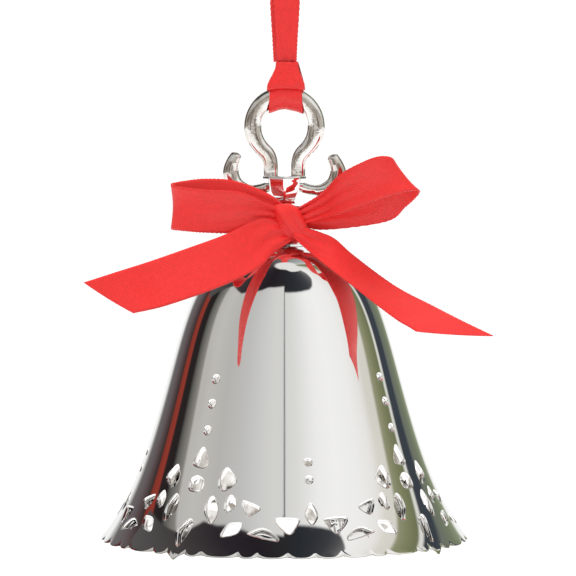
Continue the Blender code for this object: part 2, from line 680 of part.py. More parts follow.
def hanger_knot():
    """The overhand knot that joins the strands, and the ribbon's two cut ends above it."""
    base = HANG_HEIGHT + 0.0013
    size = Vector(HANGER_KNOT_SIZE)
    pillow("hanger_knot", size, (0.0, 0.0, base + size.z / 2), (0.0, 0.0, HANG_HEIGHT))
    start = (base + size.z + CLEARANCE - RIBBON_LIFT) * 1000.0
    for name, side in (("hanger_left_end", -1.0), ("hanger_right_end", 1.0)):
        half = HANGER_WIDTH * 500.0
        route = ((1.6, 0.6, 0.0), (2.4, 1.0, 4.0), (4.6, 1.6, 9.0))
        inner = [((x - half + 1.4) * side, y * side, start + z) for x, y, z in route]
        outer = [((x + half - 1.0) * side, y * side, start + z * 0.86) for x, y, z in route]
        strip(name, outer, inner, RED, HANGER_THICK, along=8, origin=(0.0, 0.0, HANG_HEIGHT))


# ---------------------------------------------------------------- the assembly
clear_scene()
PART = collection(NAME)
CUTTERS = collection(NAME + "_cutters")
SILVER = material("silver_plate", (0.82, 0.82, 0.83), 1.0, 0.08)
STEEL = material("bright_steel", (0.62, 0.62, 0.64), 1.0, 0.25)
RED = material("red_satin", (0.78, 0.035, 0.03), 0.0, 0.45)
SWING_AXIS = (0.0, 0.0, LOOP_CENTRE + LOOP_MID_RADIUS - SWING_DROP)
HITCH_AXIS = (0.0, 0.0, HITCH_TOP + HITCH_GAP)

bell_shell()
crown_stem()
crown_loop()
hook("left_hook", -1.0, LEFT_HOOK_RISE)
hook("right_hook", 1.0, 0.0)
eye_bolt()
clamp_pieces()
clapper()
bow_neck_band()
pillow("bow_knot", KNOT_SIZE, KNOT_CENTRE, SWING_AXIS)
bow_loops()
bow_tails()
hanger_hitch()
hanger_strands()
hanger_knot()
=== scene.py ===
"""Christmas bell ornament: a mirror-bright pierced bell with a red satin bow and ribbon hanger."""
import math
from bisect import bisect_right

import bmesh
import bpy
from bpy.props import FloatProperty, FloatVectorProperty, IntProperty, PointerProperty
from mathutils import Matrix, Vector


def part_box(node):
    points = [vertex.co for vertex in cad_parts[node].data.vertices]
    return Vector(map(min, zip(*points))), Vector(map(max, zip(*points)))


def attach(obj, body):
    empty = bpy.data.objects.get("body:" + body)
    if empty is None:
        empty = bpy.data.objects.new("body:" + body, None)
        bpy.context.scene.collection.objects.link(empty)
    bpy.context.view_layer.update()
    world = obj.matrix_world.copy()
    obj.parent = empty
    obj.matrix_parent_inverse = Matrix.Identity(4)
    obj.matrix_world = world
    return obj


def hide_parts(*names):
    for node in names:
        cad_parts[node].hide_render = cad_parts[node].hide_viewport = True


bl_info = {
    "name": "Christmas Bell Ornament",
    "version": (1, 0, 0),
    "blender": (4, 5, 0),
    "location": "View3D > Sidebar > Ornament",
    "description": "Builds a pierced bell ornament with its crown, clapper, bow and ribbon hanger",
    "category": "Add Mesh",
}

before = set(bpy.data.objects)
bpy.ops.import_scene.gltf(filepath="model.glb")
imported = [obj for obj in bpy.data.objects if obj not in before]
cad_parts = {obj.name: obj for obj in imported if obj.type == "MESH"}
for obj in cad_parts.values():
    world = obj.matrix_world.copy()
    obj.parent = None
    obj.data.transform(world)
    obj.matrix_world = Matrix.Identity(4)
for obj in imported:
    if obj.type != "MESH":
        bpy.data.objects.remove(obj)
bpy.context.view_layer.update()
SEAT = 0.0649                                    # the shell's height above the rim's lobes
RIM_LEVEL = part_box("bell_shell")[1][2] - SEAT    # heights below are counted from the lobes


# ================================================================ settings
class BellSettings(bpy.types.PropertyGroup):
    rim_radius: FloatProperty(
        name="Rim Radius", description="Radius of the rim where the flare ends",
        default=0.0401, min=0.02, unit="LENGTH")
    waist_radius: FloatProperty(
        name="Waist Radius", description="Radius where the dome turns into the flare",
        default=0.02605, min=0.01, unit="LENGTH")
    waist_height: FloatProperty(
        name="Waist Height", description="Height of the waist above the lobes",
        default=0.0340, min=0.01, unit="LENGTH")
    seat_radius: FloatProperty(
        name="Seat Radius", description="Radius of the flat top that the crown stands on",
        default=0.0050, min=0.002, unit="LENGTH")
    wall: FloatProperty(
        name="Wall", description="Thickness of the shell", default=0.0012, min=0.0005,
        unit="LENGTH")
    bolt_hole: FloatProperty(
        name="Bolt Hole", description="Radius of the hole for the eye bolt",
        default=0.00155, min=0.001, unit="LENGTH")
    edge_round: FloatProperty(
        name="Opening Edge", description="Width of the rounded edge of the openings",
        default=0.00050, min=0.0001, unit="LENGTH")
    columns: IntProperty(
        name="Columns", description="Faces around the shell", default=480, min=96)
    plate_colour: FloatVectorProperty(
        name="Plate Colour", description="Colour of the silver plate", subtype="COLOR",
        default=(0.93, 0.925, 0.915), min=0.0, max=1.0)
    plate_roughness: FloatProperty(
        name="Plate Roughness", description="Blur of the plate's reflections", default=0.035,
        min=0.0, max=1.0, subtype="FACTOR")


class RibbonSettings(bpy.types.PropertyGroup):
    bow_width: FloatProperty(
        name="Bow Ribbon", description="Width of the bow's ribbon", default=0.0100, min=0.003,
        unit="LENGTH")
    hanger_width: FloatProperty(
        name="Hanger Ribbon", description="Width of the hanging ribbon", default=0.0060,
        min=0.002, unit="LENGTH")
    thickness: FloatProperty(
        name="Thickness", description="Thickness of the woven ribbon", default=0.00026,
        min=0.0001, unit="LENGTH")
    colour: FloatVectorProperty(
        name="Satin Colour", description="Colour of the satin", subtype="COLOR",
        default=(0.80, 0.028, 0.026), min=0.0, max=1.0)


class StageSettings(bpy.types.PropertyGroup):
    camera_distance: FloatProperty(
        name="Camera Distance", description="From the camera to the bell's axis", default=0.880,
        min=0.2, unit="LENGTH")
    camera_height: FloatProperty(
        name="Camera Height", description="Above the rim's lobes", default=0.09964, unit="LENGTH")
    camera_side: FloatProperty(
        name="Camera Side", description="To the right of the bell's axis", default=0.00077,
        unit="LENGTH")
    camera_pitch: FloatProperty(
        name="Camera Pitch", description="Downward tilt of the camera", default=0.05013,
        unit="ROTATION")
    camera_lens: FloatProperty(
        name="Lens", description="Focal length in millimetres", default=251.6, min=20.0)
    floor_drop: FloatProperty(
        name="Floor Drop", description="From the rim down to the floor", default=0.30, min=0.02,
        unit="LENGTH")


# ================================================================ small tools
def settings():
    return bpy.context.scene.ornament_bell


def ribbons():
    return bpy.context.scene.ornament_ribbon


def bezier(a, b, c, d, t):
    """A point of a cubic curve from a to d, with handles b and c."""
    s = 1.0 - t
    return a * s**3 + b * 3 * s * s * t + c * 3 * s * t * t + d * t**3


def smooth_point(points, t, closed=False):
    """A point on the smooth curve through the given points, for t from 0 to 1."""
    last = len(points) if closed else len(points) - 1
    place = (t % 1.0 if closed else min(max(t, 0.0), 1.0)) * last
    start = min(int(place), last - 1)
    f = place - start

    def at(k):
        return points[k % len(points)] if closed else points[min(max(k, 0), last)]

    before, a, b, after = at(start - 1), at(start), at(start + 1), at(start + 2)
    return (a * 2 + (b - before) * f + (before * 2 - a * 5 + b * 4 - after) * f**2
            + (a * 3 - before - b * 3 + after) * f**3) * 0.5


def rounded_outline(corners, t):
    """A closed outline between the polygon through its corners and the curve through them."""
    count = len(corners)
    reach, steps = 0.30, 7
    straight = Vector((0.0, 0.0))
    for k in range(steps):
        place = (t * count + reach * (2.0 * k / (steps - 1) - 1.0)) % count
        start = int(place)
        straight += corners[start].lerp(corners[(start + 1) % count], place - start) / steps
    return straight.lerp(smooth_point(corners, t, closed=True), 0.40)


def smoothstep(low, high, value):
    share = min(max((value - low) / (high - low), 0.0), 1.0)
    return share * share * (3.0 - 2.0 * share)


def shaped_grid(bm, columns, rows, place, closed=False, capped=False, uv=None):
    """Adds a grid bent so that place(u, v) gives each point, for u and v from 0 to 1.

    closed welds edges that meet, capped fills the open ends, and uv(u, v, point) maps the faces."""
    made = bmesh.ops.create_grid(bm, x_segments=columns, y_segments=rows, size=1.0)["verts"]
    spots = {}
    for vert in made:
        u = round((vert.co.x + 1.0) / 2.0 * columns)
        v = round((vert.co.y + 1.0) / 2.0 * rows)
        spots[vert] = (u / columns, v / rows)
        vert.co = place(u / columns, v / rows)
    if uv is not None:
        layer = bm.loops.layers.uv.verify()
        faces = {face for vert in made for face in vert.link_faces}
        for face in faces:
            for loop in face.loops:
                loop[layer].uv = uv(*spots[loop.vert], loop.vert.co)
    if closed:
        bmesh.ops.remove_doubles(bm, verts=made, dist=1e-7)
        made = [vert for vert in made if vert.is_valid]
    if capped:
        ends = {edge for vert in made for edge in vert.link_edges if edge.is_boundary}
        bmesh.ops.holes_fill(bm, edges=list(ends))
    return made


def finish_piece(name, bm, finish, body, node):
    """Makes a smooth-shaded piece that rides on a body and stands for its CAD node."""
    bmesh.ops.recalc_face_normals(bm, faces=bm.faces)
    for face in bm.faces:
        face.smooth = True
    bmesh.ops.translate(bm, verts=bm.verts, vec=(0.0, 0.0, RIM_LEVEL))
    mesh = bpy.data.meshes.new(name)
    bm.to_mesh(mesh)
    bm.free()
    piece = bpy.data.objects.new(name, mesh)
    bpy.context.scene.collection.objects.link(piece)
    mesh.materials.append(finish)
    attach(piece, body)
    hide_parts(node)
    return piece


def bake_modifiers(piece):
    """Turns the piece's modifiers into its own mesh."""
    shown = piece.evaluated_get(bpy.context.evaluated_depsgraph_get())
    mesh = bpy.data.meshes.new_from_object(shown)
    piece.modifiers.clear()
    piece.data = mesh


# ================================================================ materials
def new_material(name):
    material = bpy.data.materials.new(name)
    material.use_nodes = True
    tree = material.node_tree
    return material, tree, tree.nodes["Principled BSDF"]


def add_node(tree, kind, **values):
    node = tree.nodes.new(kind)
    for key, value in values.items():
        if key.startswith("in_"):
            node.inputs[key[3:].replace("_", " ")].default_value = value
        else:
            setattr(node, key, value)
    return node


def silver_plate():
    """Polished silver plate with faint ripples, hairline polishing marks and a few dull specks."""
    if "Silver Plate" in bpy.data.materials:
        return bpy.data.materials["Silver Plate"]
    material, tree, shader = new_material("Silver Plate")
    link = tree.links.new
    place = add_node(tree, "ShaderNodeTexCoord")
    ripple = add_node(tree, "ShaderNodeTexNoise", in_Scale=70.0, in_Detail=1.0)
    marks = add_node(tree, "ShaderNodeTexNoise", in_Scale=900.0, in_Detail=3.0)
    haze = add_node(tree, "ShaderNodeTexNoise", in_Scale=160.0, in_Detail=4.0)
    rough = add_node(tree, "ShaderNodeMapRange", in_From_Min=0.35, in_From_Max=0.75,
                     in_To_Min=settings().plate_roughness * 0.7,
                     in_To_Max=settings().plate_roughness * 1.9)
    bump = add_node(tree, "ShaderNodeBump", in_Strength=0.02, in_Distance=0.0004)
    fine = add_node(tree, "ShaderNodeBump", in_Strength=0.012, in_Distance=0.00005)
    for node in (ripple, marks, haze):
        link(place.outputs["Object"], node.inputs["Vector"])
    link(haze.outputs["Fac"], rough.inputs["Value"])
    link(rough.outputs["Result"], shader.inputs["Roughness"])
    link(ripple.outputs["Fac"], bump.inputs["Height"])
    link(marks.outputs["Fac"], fine.inputs["Height"])
    link(bump.outputs["Normal"], fine.inputs["Normal"])
    link(fine.outputs["Normal"], shader.inputs["Normal"])
    shader.inputs["Base Color"].default_value = (*settings().plate_colour, 1.0)
    shader.inputs["Metallic"].default_value = 1.0
    return material


def inner_silver_painted_shade():
    """The inside of the wall: left unpolished, with drawing marks up and down, and a dark brown-grey
    tint that is painted shade for the bell's hollow.
    """
    material, tree, shader = new_material("Inner Silver Painted Shade")
    link = tree.links.new
    place = add_node(tree, "ShaderNodeTexCoord")
    stretch = add_node(tree, "ShaderNodeMapping")
    stretch.inputs["Scale"].default_value = (420.0, 420.0, 26.0)
    streaks = add_node(tree, "ShaderNodeTexNoise", in_Scale=1.0, in_Detail=3.0)
    shade = add_node(tree, "ShaderNodeMapRange", in_From_Min=0.36, in_From_Max=0.64)
    tint = add_node(tree, "ShaderNodeMixRGB")
    # Painted shade: this dark brown-grey darkens the inside of the bell, standing in for the shade in
    # its hollow.
    tint.inputs["Color1"].default_value = (0.30, 0.265, 0.23, 1.0)
    tint.inputs["Color2"].default_value = (0.80, 0.78, 0.75, 1.0)
    bump = add_node(tree, "ShaderNodeBump", in_Strength=0.25, in_Distance=0.00006)
    link(place.outputs["Object"], stretch.inputs["Vector"])
    link(stretch.outputs["Vector"], streaks.inputs["Vector"])
    link(streaks.outputs["Fac"], shade.inputs["Value"])
    link(shade.outputs["Result"], tint.inputs["Fac"])
    link(tint.outputs["Color"], shader.inputs["Base Color"])
    link(streaks.outputs["Fac"], bump.inputs["Height"])
    link(bump.outputs["Normal"], shader.inputs["Normal"])
    shader.inputs["Metallic"].default_value = 1.0
    shader.inputs["Roughness"].default_value = 0.26
    return material


def cast_silver():
    """Cast and plated silver: softer ripples than the shell's, pin holes and a warm tarnish."""
    if "Cast Silver" in bpy.data.materials:
        return bpy.data.materials["Cast Silver"]
    material, tree, shader = new_material("Cast Silver")
    link = tree.links.new
    place = add_node(tree, "ShaderNodeTexCoord")
    ripple = add_node(tree, "ShaderNodeTexNoise", in_Scale=420.0, in_Detail=2.0)
    pores = add_node(tree, "ShaderNodeTexVoronoi", in_Scale=1500.0)
    tarnish = add_node(tree, "ShaderNodeTexNoise", in_Scale=260.0, in_Detail=4.0)
    pits = add_node(tree, "ShaderNodeMapRange", in_From_Min=0.10, in_From_Max=0.28)
    shade = add_node(tree, "ShaderNodeMapRange", in_From_Min=0.42, in_From_Max=0.68)
    tint = add_node(tree, "ShaderNodeMixRGB")
    tint.inputs["Color1"].default_value = (0.86, 0.845, 0.82, 1.0)
    tint.inputs["Color2"].default_value = (0.62, 0.565, 0.50, 1.0)
    bump = add_node(tree, "ShaderNodeBump", in_Strength=0.20, in_Distance=0.00022)
    fine = add_node(tree, "ShaderNodeBump", in_Strength=0.25, in_Distance=0.00003)
    for node in (ripple, pores, tarnish):
        link(place.outputs["Object"], node.inputs["Vector"])
    link(tarnish.outputs["Fac"], shade.inputs["Value"])
    link(shade.outputs["Result"], tint.inputs["Fac"])
    link(tint.outputs["Color"], shader.inputs["Base Color"])
    link(pores.outputs["Distance"], pits.inputs["Value"])
    link(ripple.outputs["Fac"], bump.inputs["Height"])
    link(pits.outputs["Result"], fine.inputs["Height"])
    link(bump.outputs["Normal"], fine.inputs["Normal"])
    link(fine.outputs["Normal"], shader.inputs["Normal"])
    shader.inputs["Metallic"].default_value = 1.0
    shader.inputs["Roughness"].default_value = 0.10
    return material


def bright_steel():
    """Zinc-plated steel wire and hardware, lightly brushed."""
    if "Bright Steel" in bpy.data.materials:
        return bpy.data.materials["Bright Steel"]
    material, tree, shader = new_material("Bright Steel")
    link = tree.links.new
    place = add_node(tree, "ShaderNodeTexCoord")
    grain = add_node(tree, "ShaderNodeTexNoise", in_Scale=1400.0, in_Detail=3.0)
    spangle = add_node(tree, "ShaderNodeTexVoronoi", in_Scale=500.0)
    rough = add_node(tree, "ShaderNodeMapRange", in_To_Min=0.16, in_To_Max=0.34)
    tint = add_node(tree, "ShaderNodeMixRGB")
    tint.inputs["Color1"].default_value = (0.60, 0.60, 0.62, 1.0)
    tint.inputs["Color2"].default_value = (0.72, 0.72, 0.72, 1.0)
    bump = add_node(tree, "ShaderNodeBump", in_Strength=0.15, in_Distance=0.00003)
    link(place.outputs["Object"], grain.inputs["Vector"])
    link(place.outputs["Object"], spangle.inputs["Vector"])
    link(grain.outputs["Fac"], rough.inputs["Value"])
    link(rough.outputs["Result"], shader.inputs["Roughness"])
    link(spangle.outputs["Distance"], tint.inputs["Fac"])
    link(tint.outputs["Color"], shader.inputs["Base Color"])
    link(grain.outputs["Fac"], bump.inputs["Height"])
    link(bump.outputs["Normal"], shader.inputs["Normal"])
    shader.inputs["Metallic"].default_value = 1.0
    return material


def satin():
    """Satin ribbon: a fine slanting weave along the UV map, whose unit is a metre."""
    if "Red Satin" in bpy.data.materials:
        return bpy.data.materials["Red Satin"]
    material, tree, shader = new_material("Red Satin")
    link = tree.links.new
    colour = ribbons().colour
    place = add_node(tree, "ShaderNodeUVMap")
    slant = add_node(tree, "ShaderNodeMapping")
    slant.inputs["Rotation"].default_value = (0.0, 0.0, math.radians(34.0))
    twill = add_node(tree, "ShaderNodeTexWave", wave_type="BANDS", bands_direction="Y",
                     in_Scale=740.0, in_Distortion=0.8, in_Detail=1.0)
    slubs = add_node(tree, "ShaderNodeTexNoise", in_Scale=900.0, in_Detail=2.0)
    both = add_node(tree, "ShaderNodeMath", operation="ADD")
    shade = add_node(tree, "ShaderNodeMixRGB")
    amount = add_node(tree, "ShaderNodeMapRange", in_From_Min=0.2, in_From_Max=1.6)
    bump = add_node(tree, "ShaderNodeBump", in_Strength=0.35, in_Distance=0.00006)
    link(place.outputs["UV"], slant.inputs["Vector"])
    link(slant.outputs["Vector"], twill.inputs["Vector"])
    link(place.outputs["UV"], slubs.inputs["Vector"])
    link(twill.outputs["Fac"], both.inputs[0])
    link(slubs.outputs["Fac"], both.inputs[1])
    link(both.outputs["Value"], amount.inputs["Value"])
    link(amount.outputs["Result"], shade.inputs["Fac"])
    link(both.outputs["Value"], bump.inputs["Height"])
    link(bump.outputs["Normal"], shader.inputs["Normal"])
    link(shade.outputs["Color"], shader.inputs["Base Color"])
    shade.inputs["Color1"].default_value = (*[c * 0.80 for c in colour], 1.0)
    shade.inputs["Color2"].default_value = (*[min(c * 1.12, 1.0) for c in colour], 1.0)
    shader.inputs["Roughness"].default_value = 0.42
    shader.inputs["Specular IOR Level"].default_value = 0.45
    shader.inputs["Sheen Weight"].default_value = 0.12
    shader.inputs["Sheen Roughness"].default_value = 0.4
    shader.inputs["Sheen Tint"].default_value = (1.0, 0.35, 0.30, 1.0)
    return material


# ================================================================ the bell
NOTCHES = (0.0, 8.5, 18.0, 23.75, 36.1, 41.6)    # degrees from the middle of a quarter
PATTERN_TURN = 9.5                               # degrees from the front to a quarter's middle
EDGE_HEIGHT = 0.0010                             # where the flare ends
EDGE_TURN = 0.0006                               # how fast the edge turns upright below it
EDGE_STRETCH = 0.01                              # metres of edge for each unit of the profile
RIM_SLOPE = 0.85                                 # outwards for each metre down, at the rim
PROFILE_END = 2.28                               # just below the tips
LOBE_LIFT = 0.0018                               # the lobes above the profile's lower end
TIP_LIFT = 0.0001                                # the tips above it
NOTCH_LIFT = 0.0009                              # the notches above the lobes
LIP_BAND = 0.0010                                # rounded edge at the lobes
NOTCH_BAND = 0.0011                              # how much further it reaches up at a notch
ON_SURFACE = 6e-6                                # a point this near a wall's surface lies on it

# Openings of half a quarter: degrees from its middle, height in metres, and an outline in
# millimetres, the first number towards the middle and the second up the wall.
SIDE_OPENINGS = (
    (32.1, 0.0159, ((-0.3, 3.4), (2.4, 0.4), (2.0, -0.9), (-0.3, -2.4), (-1.8, -1.4), (-2.0, 0.9))),
    (29.4, 0.0112, ((0.0, 2.4), (1.6, 0.8), (1.5, -0.6), (-0.3, -1.9), (-1.2, -1.3), (-1.3, 0.8))),
    (35.8, 0.0101, ((-0.4, 3.2), (1.3, 0.9), (1.5, -1.4), (0.3, -3.8), (-2.0, -0.7), (-1.9, 1.9))),
    (22.4, 0.0105, ((-1.3, 2.0), (3.1, 0.2), (0.2, -2.1), (-1.5, 0.4))),
    (27.2, 0.0063, ((2.4, 1.6), (1.3, -1.2), (-2.5, -2.1), (-1.3, 1.3))),
    (16.3, 0.0054, ((-3.4, 0.4), (-0.8, 1.6), (1.3, 1.1), (3.2, -0.6), (3.1, -1.9), (-3.3, -0.2))),
    (8.4, 0.0074, ((-2.7, 1.6), (2.7, 1.4), (2.2, -0.3), (0.4, -2.7), (-2.5, 0.0))),
)
TIP_OPENINGS = (
    (0.0199, ((-0.2, 3.5), (2.2, -0.8), (0.5, -1.9), (-2.5, -0.9))),
    (0.0149, ((-2.2, 1.0), (-0.3, 2.2), (1.9, 1.2), (2.1, -1.2), (0.4, -1.8), (-1.8, -1.4))),
    (0.0053, ((0.7, 3.3), (2.2, 2.0), (0.2, -4.0), (-1.2, -1.9), (-1.8, 0.7))),
)
MIDDLE_OPENINGS = ((0.0094, ((0.0, 3.0), (1.6, -0.2), (0.0, -2.8), (-1.7, -0.1))),)
TIP_DOTS = ((0.0370, 0.0011), (0.0318, 0.0011), (0.0262, 0.0011))      # height, radius
MIDDLE_DOTS = ((0.0200, 0.0010), (0.0164, 0.0010))


def shell_profile(t):
    """Outer surface as (radius, height): 0 at the seat's edge, 1 at the waist, 2 at the rim, and
    then on down the edge, which turns upright. A scratch program fitted the handles of the two
    curves to points read off the photograph."""
    bell = settings()
    seat = Vector((bell.seat_radius, SEAT))
    waist = Vector((bell.waist_radius, bell.waist_height))
    rim = Vector((bell.rim_radius, EDGE_HEIGHT))
    if t > 2.0:
        drop = (t - 2.0) * EDGE_STRETCH
        flare = RIM_SLOPE * EDGE_TURN * (1.0 - math.exp(-drop / EDGE_TURN))
        return rim + Vector((flare, -drop))
    if t <= 1.0:
        return bezier(seat, seat + Vector((0.01385, 0.0)), waist + Vector((-0.00449, 0.01605)),
                      waist, t)
    return bezier(waist, waist + Vector((0.00266, -0.0095)),
                  rim + Vector((-RIM_SLOPE, 1.0)) * 0.0085, rim, t - 1.0)


def profile_slope(t):
    """Unit direction down the outer surface, as (radius, height)."""
    return (shell_profile(t + 1e-3) - shell_profile(max(t - 1e-3, 0.0))).normalized()


class ProfileTable:
    """The profile by distance, measured up from just below the rim's tips."""

    def __init__(self, steps=900):
        self.spots = [PROFILE_END * k / steps for k in range(steps, -1, -1)]
        self.lengths = [0.0]
        points = [shell_profile(t) for t in self.spots]
        for a, b in zip(points, points[1:]):
            self.lengths.append(self.lengths[-1] + (b - a).length)
        self.heights = [point.y for point in points]

    def find(self, values, wanted):
        low = min(max(bisect_right(values, wanted) - 1, 0), len(values) - 2)
        high = low + 1
        share = (wanted - values[low]) / max(values[high] - values[low], 1e-12)
        return self.spots[low] + (self.spots[high] - self.spots[low]) * share

    def at_length(self, length):
        return self.find(self.lengths, length)

    def length_at_height(self, height):
        t = self.find(self.heights, height)
        share = (PROFILE_END - t) / PROFILE_END * (len(self.lengths) - 1)
        low = min(int(share), len(self.lengths) - 2)
        return self.lengths[low] + (self.lengths[low + 1] - self.lengths[low]) * (share - low)


def wall_point(table, angle, length, depth=0.0):
    """A point at an angle in degrees, a distance up the wall, and a depth under its outside."""
    t = table.at_length(length)
    here = shell_profile(t)
    slope = profile_slope(t)
    if length < 0.0:
        here = here + slope * -length
    radius = here.x + slope.y * depth
    height = here.y - slope.x * depth
    turn = math.radians(angle)
    return Vector((radius * math.sin(turn), -radius * math.cos(turn), height))


def edge_lines(angle):
    """Distances up the wall of the rim's lowest line and of its face's edge, at an angle."""
    off = abs((angle - PATTERN_TURN + 45.0) % 90.0 - 45.0)
    notch = LOBE_LIFT + NOTCH_LIFT
    if off >= NOTCHES[-1]:
        share = (45.0 - off) / (45.0 - NOTCHES[-1])
        low = TIP_LIFT + (notch - TIP_LIFT) * share ** 0.9
        return low, low + LIP_BAND * 1.1 + NOTCH_BAND * share ** 3
    for a, b in zip(NOTCHES, NOTCHES[1:]):
        if off <= b:
            share = abs((off - a) / (b - a) * 2 - 1)
            return (LOBE_LIFT + NOTCH_LIFT * share ** 3,
                    LOBE_LIFT + NOTCH_LIFT * share ** 3 + LIP_BAND + NOTCH_BAND * share ** 2.5)
    return notch, notch + LIP_BAND + NOTCH_BAND


def shell_body(table):
    """The closed shell: outside, rounded scalloped lip, and inside, before it is pierced."""
    bell = settings()
    total = table.lengths[-1]
    outer, lip, inner = 64, 10, 40
    rows = outer + lip + inner + 1
    columns = bell.columns

    def place(u, v):
        row = round(v * rows)
        angle = 360.0 * u
        low, face = edge_lines(angle)
        if row == 0 or row == rows:
            depth = 0.0 if row == 0 else bell.wall
            turn = math.radians(angle)
            return Vector((bell.bolt_hole * math.sin(turn), -bell.bolt_hole * math.cos(turn),
                           SEAT - depth))
        if row <= outer:
            share = (row - 1) / (outer - 1)
            return wall_point(table, angle, total + (face - total) * share ** 0.9)
        if row <= outer + lip:
            turn = math.pi / 2 * (row - outer) / lip
            return wall_point(table, angle, low + (face - low) * (1.0 - math.sin(turn)),
                              bell.wall * 0.8 * (1.0 - math.cos(turn)))
        share = (row - outer - lip - 1) / (inner - 1)
        start = low + 0.00025
        return wall_point(table, angle, start + (total - start) * share, bell.wall)

    bm = bmesh.new()
    shaped_grid(bm, columns, rows, place, closed=True)
    ends = [edge for edge in bm.edges if edge.is_boundary]
    bmesh.ops.bridge_loops(bm, edges=ends)
    return bm


def opening_outlines():
    """Every opening as (angle, height, outline, corners): the outline is a function of t, in
    metres, and corners is how many points it is cut with."""
    def drawn(points, flip):
        corners = [Vector((x * flip, y)) / 1000.0 for x, y in points]
        return lambda t: rounded_outline(corners, t if flip > 0 else -t)

    def dot(radius):
        return lambda t: Vector((math.sin(2 * math.pi * t), math.cos(2 * math.pi * t))) * radius

    for quarter in range(4):
        middle = PATTERN_TURN + 90.0 * quarter
        for off, height, points in SIDE_OPENINGS:
            yield middle - off, height, drawn(points, 1.0), 28
            yield middle + off, height, drawn(points, -1.0), 28
        for height, points in TIP_OPENINGS:
            yield middle + 45.0, height, drawn(points, 1.0), 28
        for height, points in MIDDLE_OPENINGS:
            yield middle, height, drawn(points, 1.0), 24
        for height, radius in TIP_DOTS:
            yield middle + 45.0, height, dot(radius), 20
        for height, radius in MIDDLE_DOTS:
            yield middle, height, dot(radius), 20


def opening_cutters(table):
    """One closed body for each opening, flared at the outside so that it leaves a rounded edge."""
    bell = settings()
    bm = bmesh.new()
    round_steps = 6
    for angle, height, outline, points in opening_outlines():
        centre = table.length_at_height(height)
        radius = shell_profile(table.at_length(centre)).x
        small = min((outline(k / points)).length for k in range(points))
        edge = min(bell.edge_round, small * 0.45)
        rings = [(-0.0005, 0.0)]
        for k in range(round_steps + 1):
            turn = math.radians(12.0 + 78.0 * k / round_steps)
            rings.append((edge * (1.0 - math.cos(turn)), edge * (1.0 - math.sin(turn))))
        rings += [(bell.wall - 0.00015, 0.0), (bell.wall + 0.0008, 0.0007)]
        lip = rings[1][1]

        def place(u, v):
            depth, spread = rings[round(v * (len(rings) - 1))]
            flat = outline(u)
            ahead = outline(u + 0.004) - outline(u - 0.004)
            side = Vector((ahead.y, -ahead.x)).normalized()
            if side.dot(flat) < 0.0:
                side = -side
            if depth < 0.0:
                spread = lip + 0.00015
            flat = flat + side * (spread - lip)
            turn = math.degrees(flat.x / radius)
            return wall_point(table, angle + turn, centre + flat.y, depth)

        shaped_grid(bm, points, len(rings) - 1, place, closed=True, capped=True)
    bmesh.ops.recalc_face_normals(bm, faces=bm.faces)
    mesh = bpy.data.meshes.new("opening_cutters")
    bm.to_mesh(mesh)
    bm.free()
    return bpy.data.objects.new("opening_cutters", mesh)


def true_normals(piece, table):
    """Gives both sides of the wall the normals of the turned surface, and the inside its darker
    material, whose brown-grey tint is painted shade.
    """
    bell = settings()
    steps = 1200
    spots = [table.at_length(-0.0002 + (table.lengths[-1] + 0.0002) * k / steps)
             for k in range(steps + 1)]
    points = [shell_profile(t) for t in spots]
    slopes = [profile_slope(t) for t in spots]
    found = []
    inner = set()
    for vert in piece.data.vertices:
        here = Vector((math.hypot(vert.co.x, vert.co.y), vert.co.z - RIM_LEVEL))
        if here.x < bell.seat_radius * 0.98:
            found.append((0.0, 0.0, 0.0))
            continue
        low, high = 0, steps
        while high - low > 1:
            middle = (low + high) // 2
            if (here - points[middle]).dot(slopes[middle]) <= 0.0:
                low = middle
            else:
                high = middle
        k = min((high, low), key=lambda k: abs((here - points[k]).dot(slopes[k])))
        normal = Vector((-slopes[k].y, slopes[k].x))
        depth = -(here - points[k]).dot(normal)
        if abs(depth) < ON_SURFACE:
            way = 1.0
        elif abs(depth - bell.wall) < ON_SURFACE:
            way = -1.0
            inner.add(vert.index)
        else:
            found.append((0.0, 0.0, 0.0))
            continue
        outward = Vector((vert.co.x, vert.co.y, 0.0)).normalized()
        full = (outward * normal.x + Vector((0.0, 0.0, normal.y))) * way
        found.append(tuple(full.normalized()))
    piece.data.materials.append(inner_silver_painted_shade())
    for polygon in piece.data.polygons:
        polygon.material_index = int(inner.issuperset(polygon.vertices))
    piece.data.normals_split_custom_set_from_vertices(found)


class ORNAMENT_OT_bell(bpy.types.Operator):
    """Build the turned shell with its scalloped lip and rounded openings"""
    bl_idname = "ornament.bell"
    bl_label = "Bell Shell"

    def execute(self, context):
        table = ProfileTable()
        shell = finish_piece("pierced_bell", shell_body(table), silver_plate(), "bell",
                             "bell_shell")
        cutter = opening_cutters(table)
        cutter.data.transform(Matrix.Translation((0.0, 0.0, RIM_LEVEL)))
        context.scene.collection.objects.link(cutter)
        pierce = shell.modifiers.new("Openings", "BOOLEAN")
        pierce.operation = "DIFFERENCE"
        pierce.solver = "EXACT"
        pierce.object = cutter
        bake_modifiers(shell)
        bpy.data.objects.remove(cutter, do_unlink=True)
        for polygon in shell.data.polygons:
            polygon.use_smooth = True
        true_normals(shell, table)
        return {"FINISHED"}


# ================================================================ the crown
LOOP_CENTRE = 0.0908
LOOP_MID_RADIUS = 0.00692
LEG_FOOT = 0.0799
OPEN_ANGLE = math.radians(50.0)                  # below level, where the ring turns into its legs

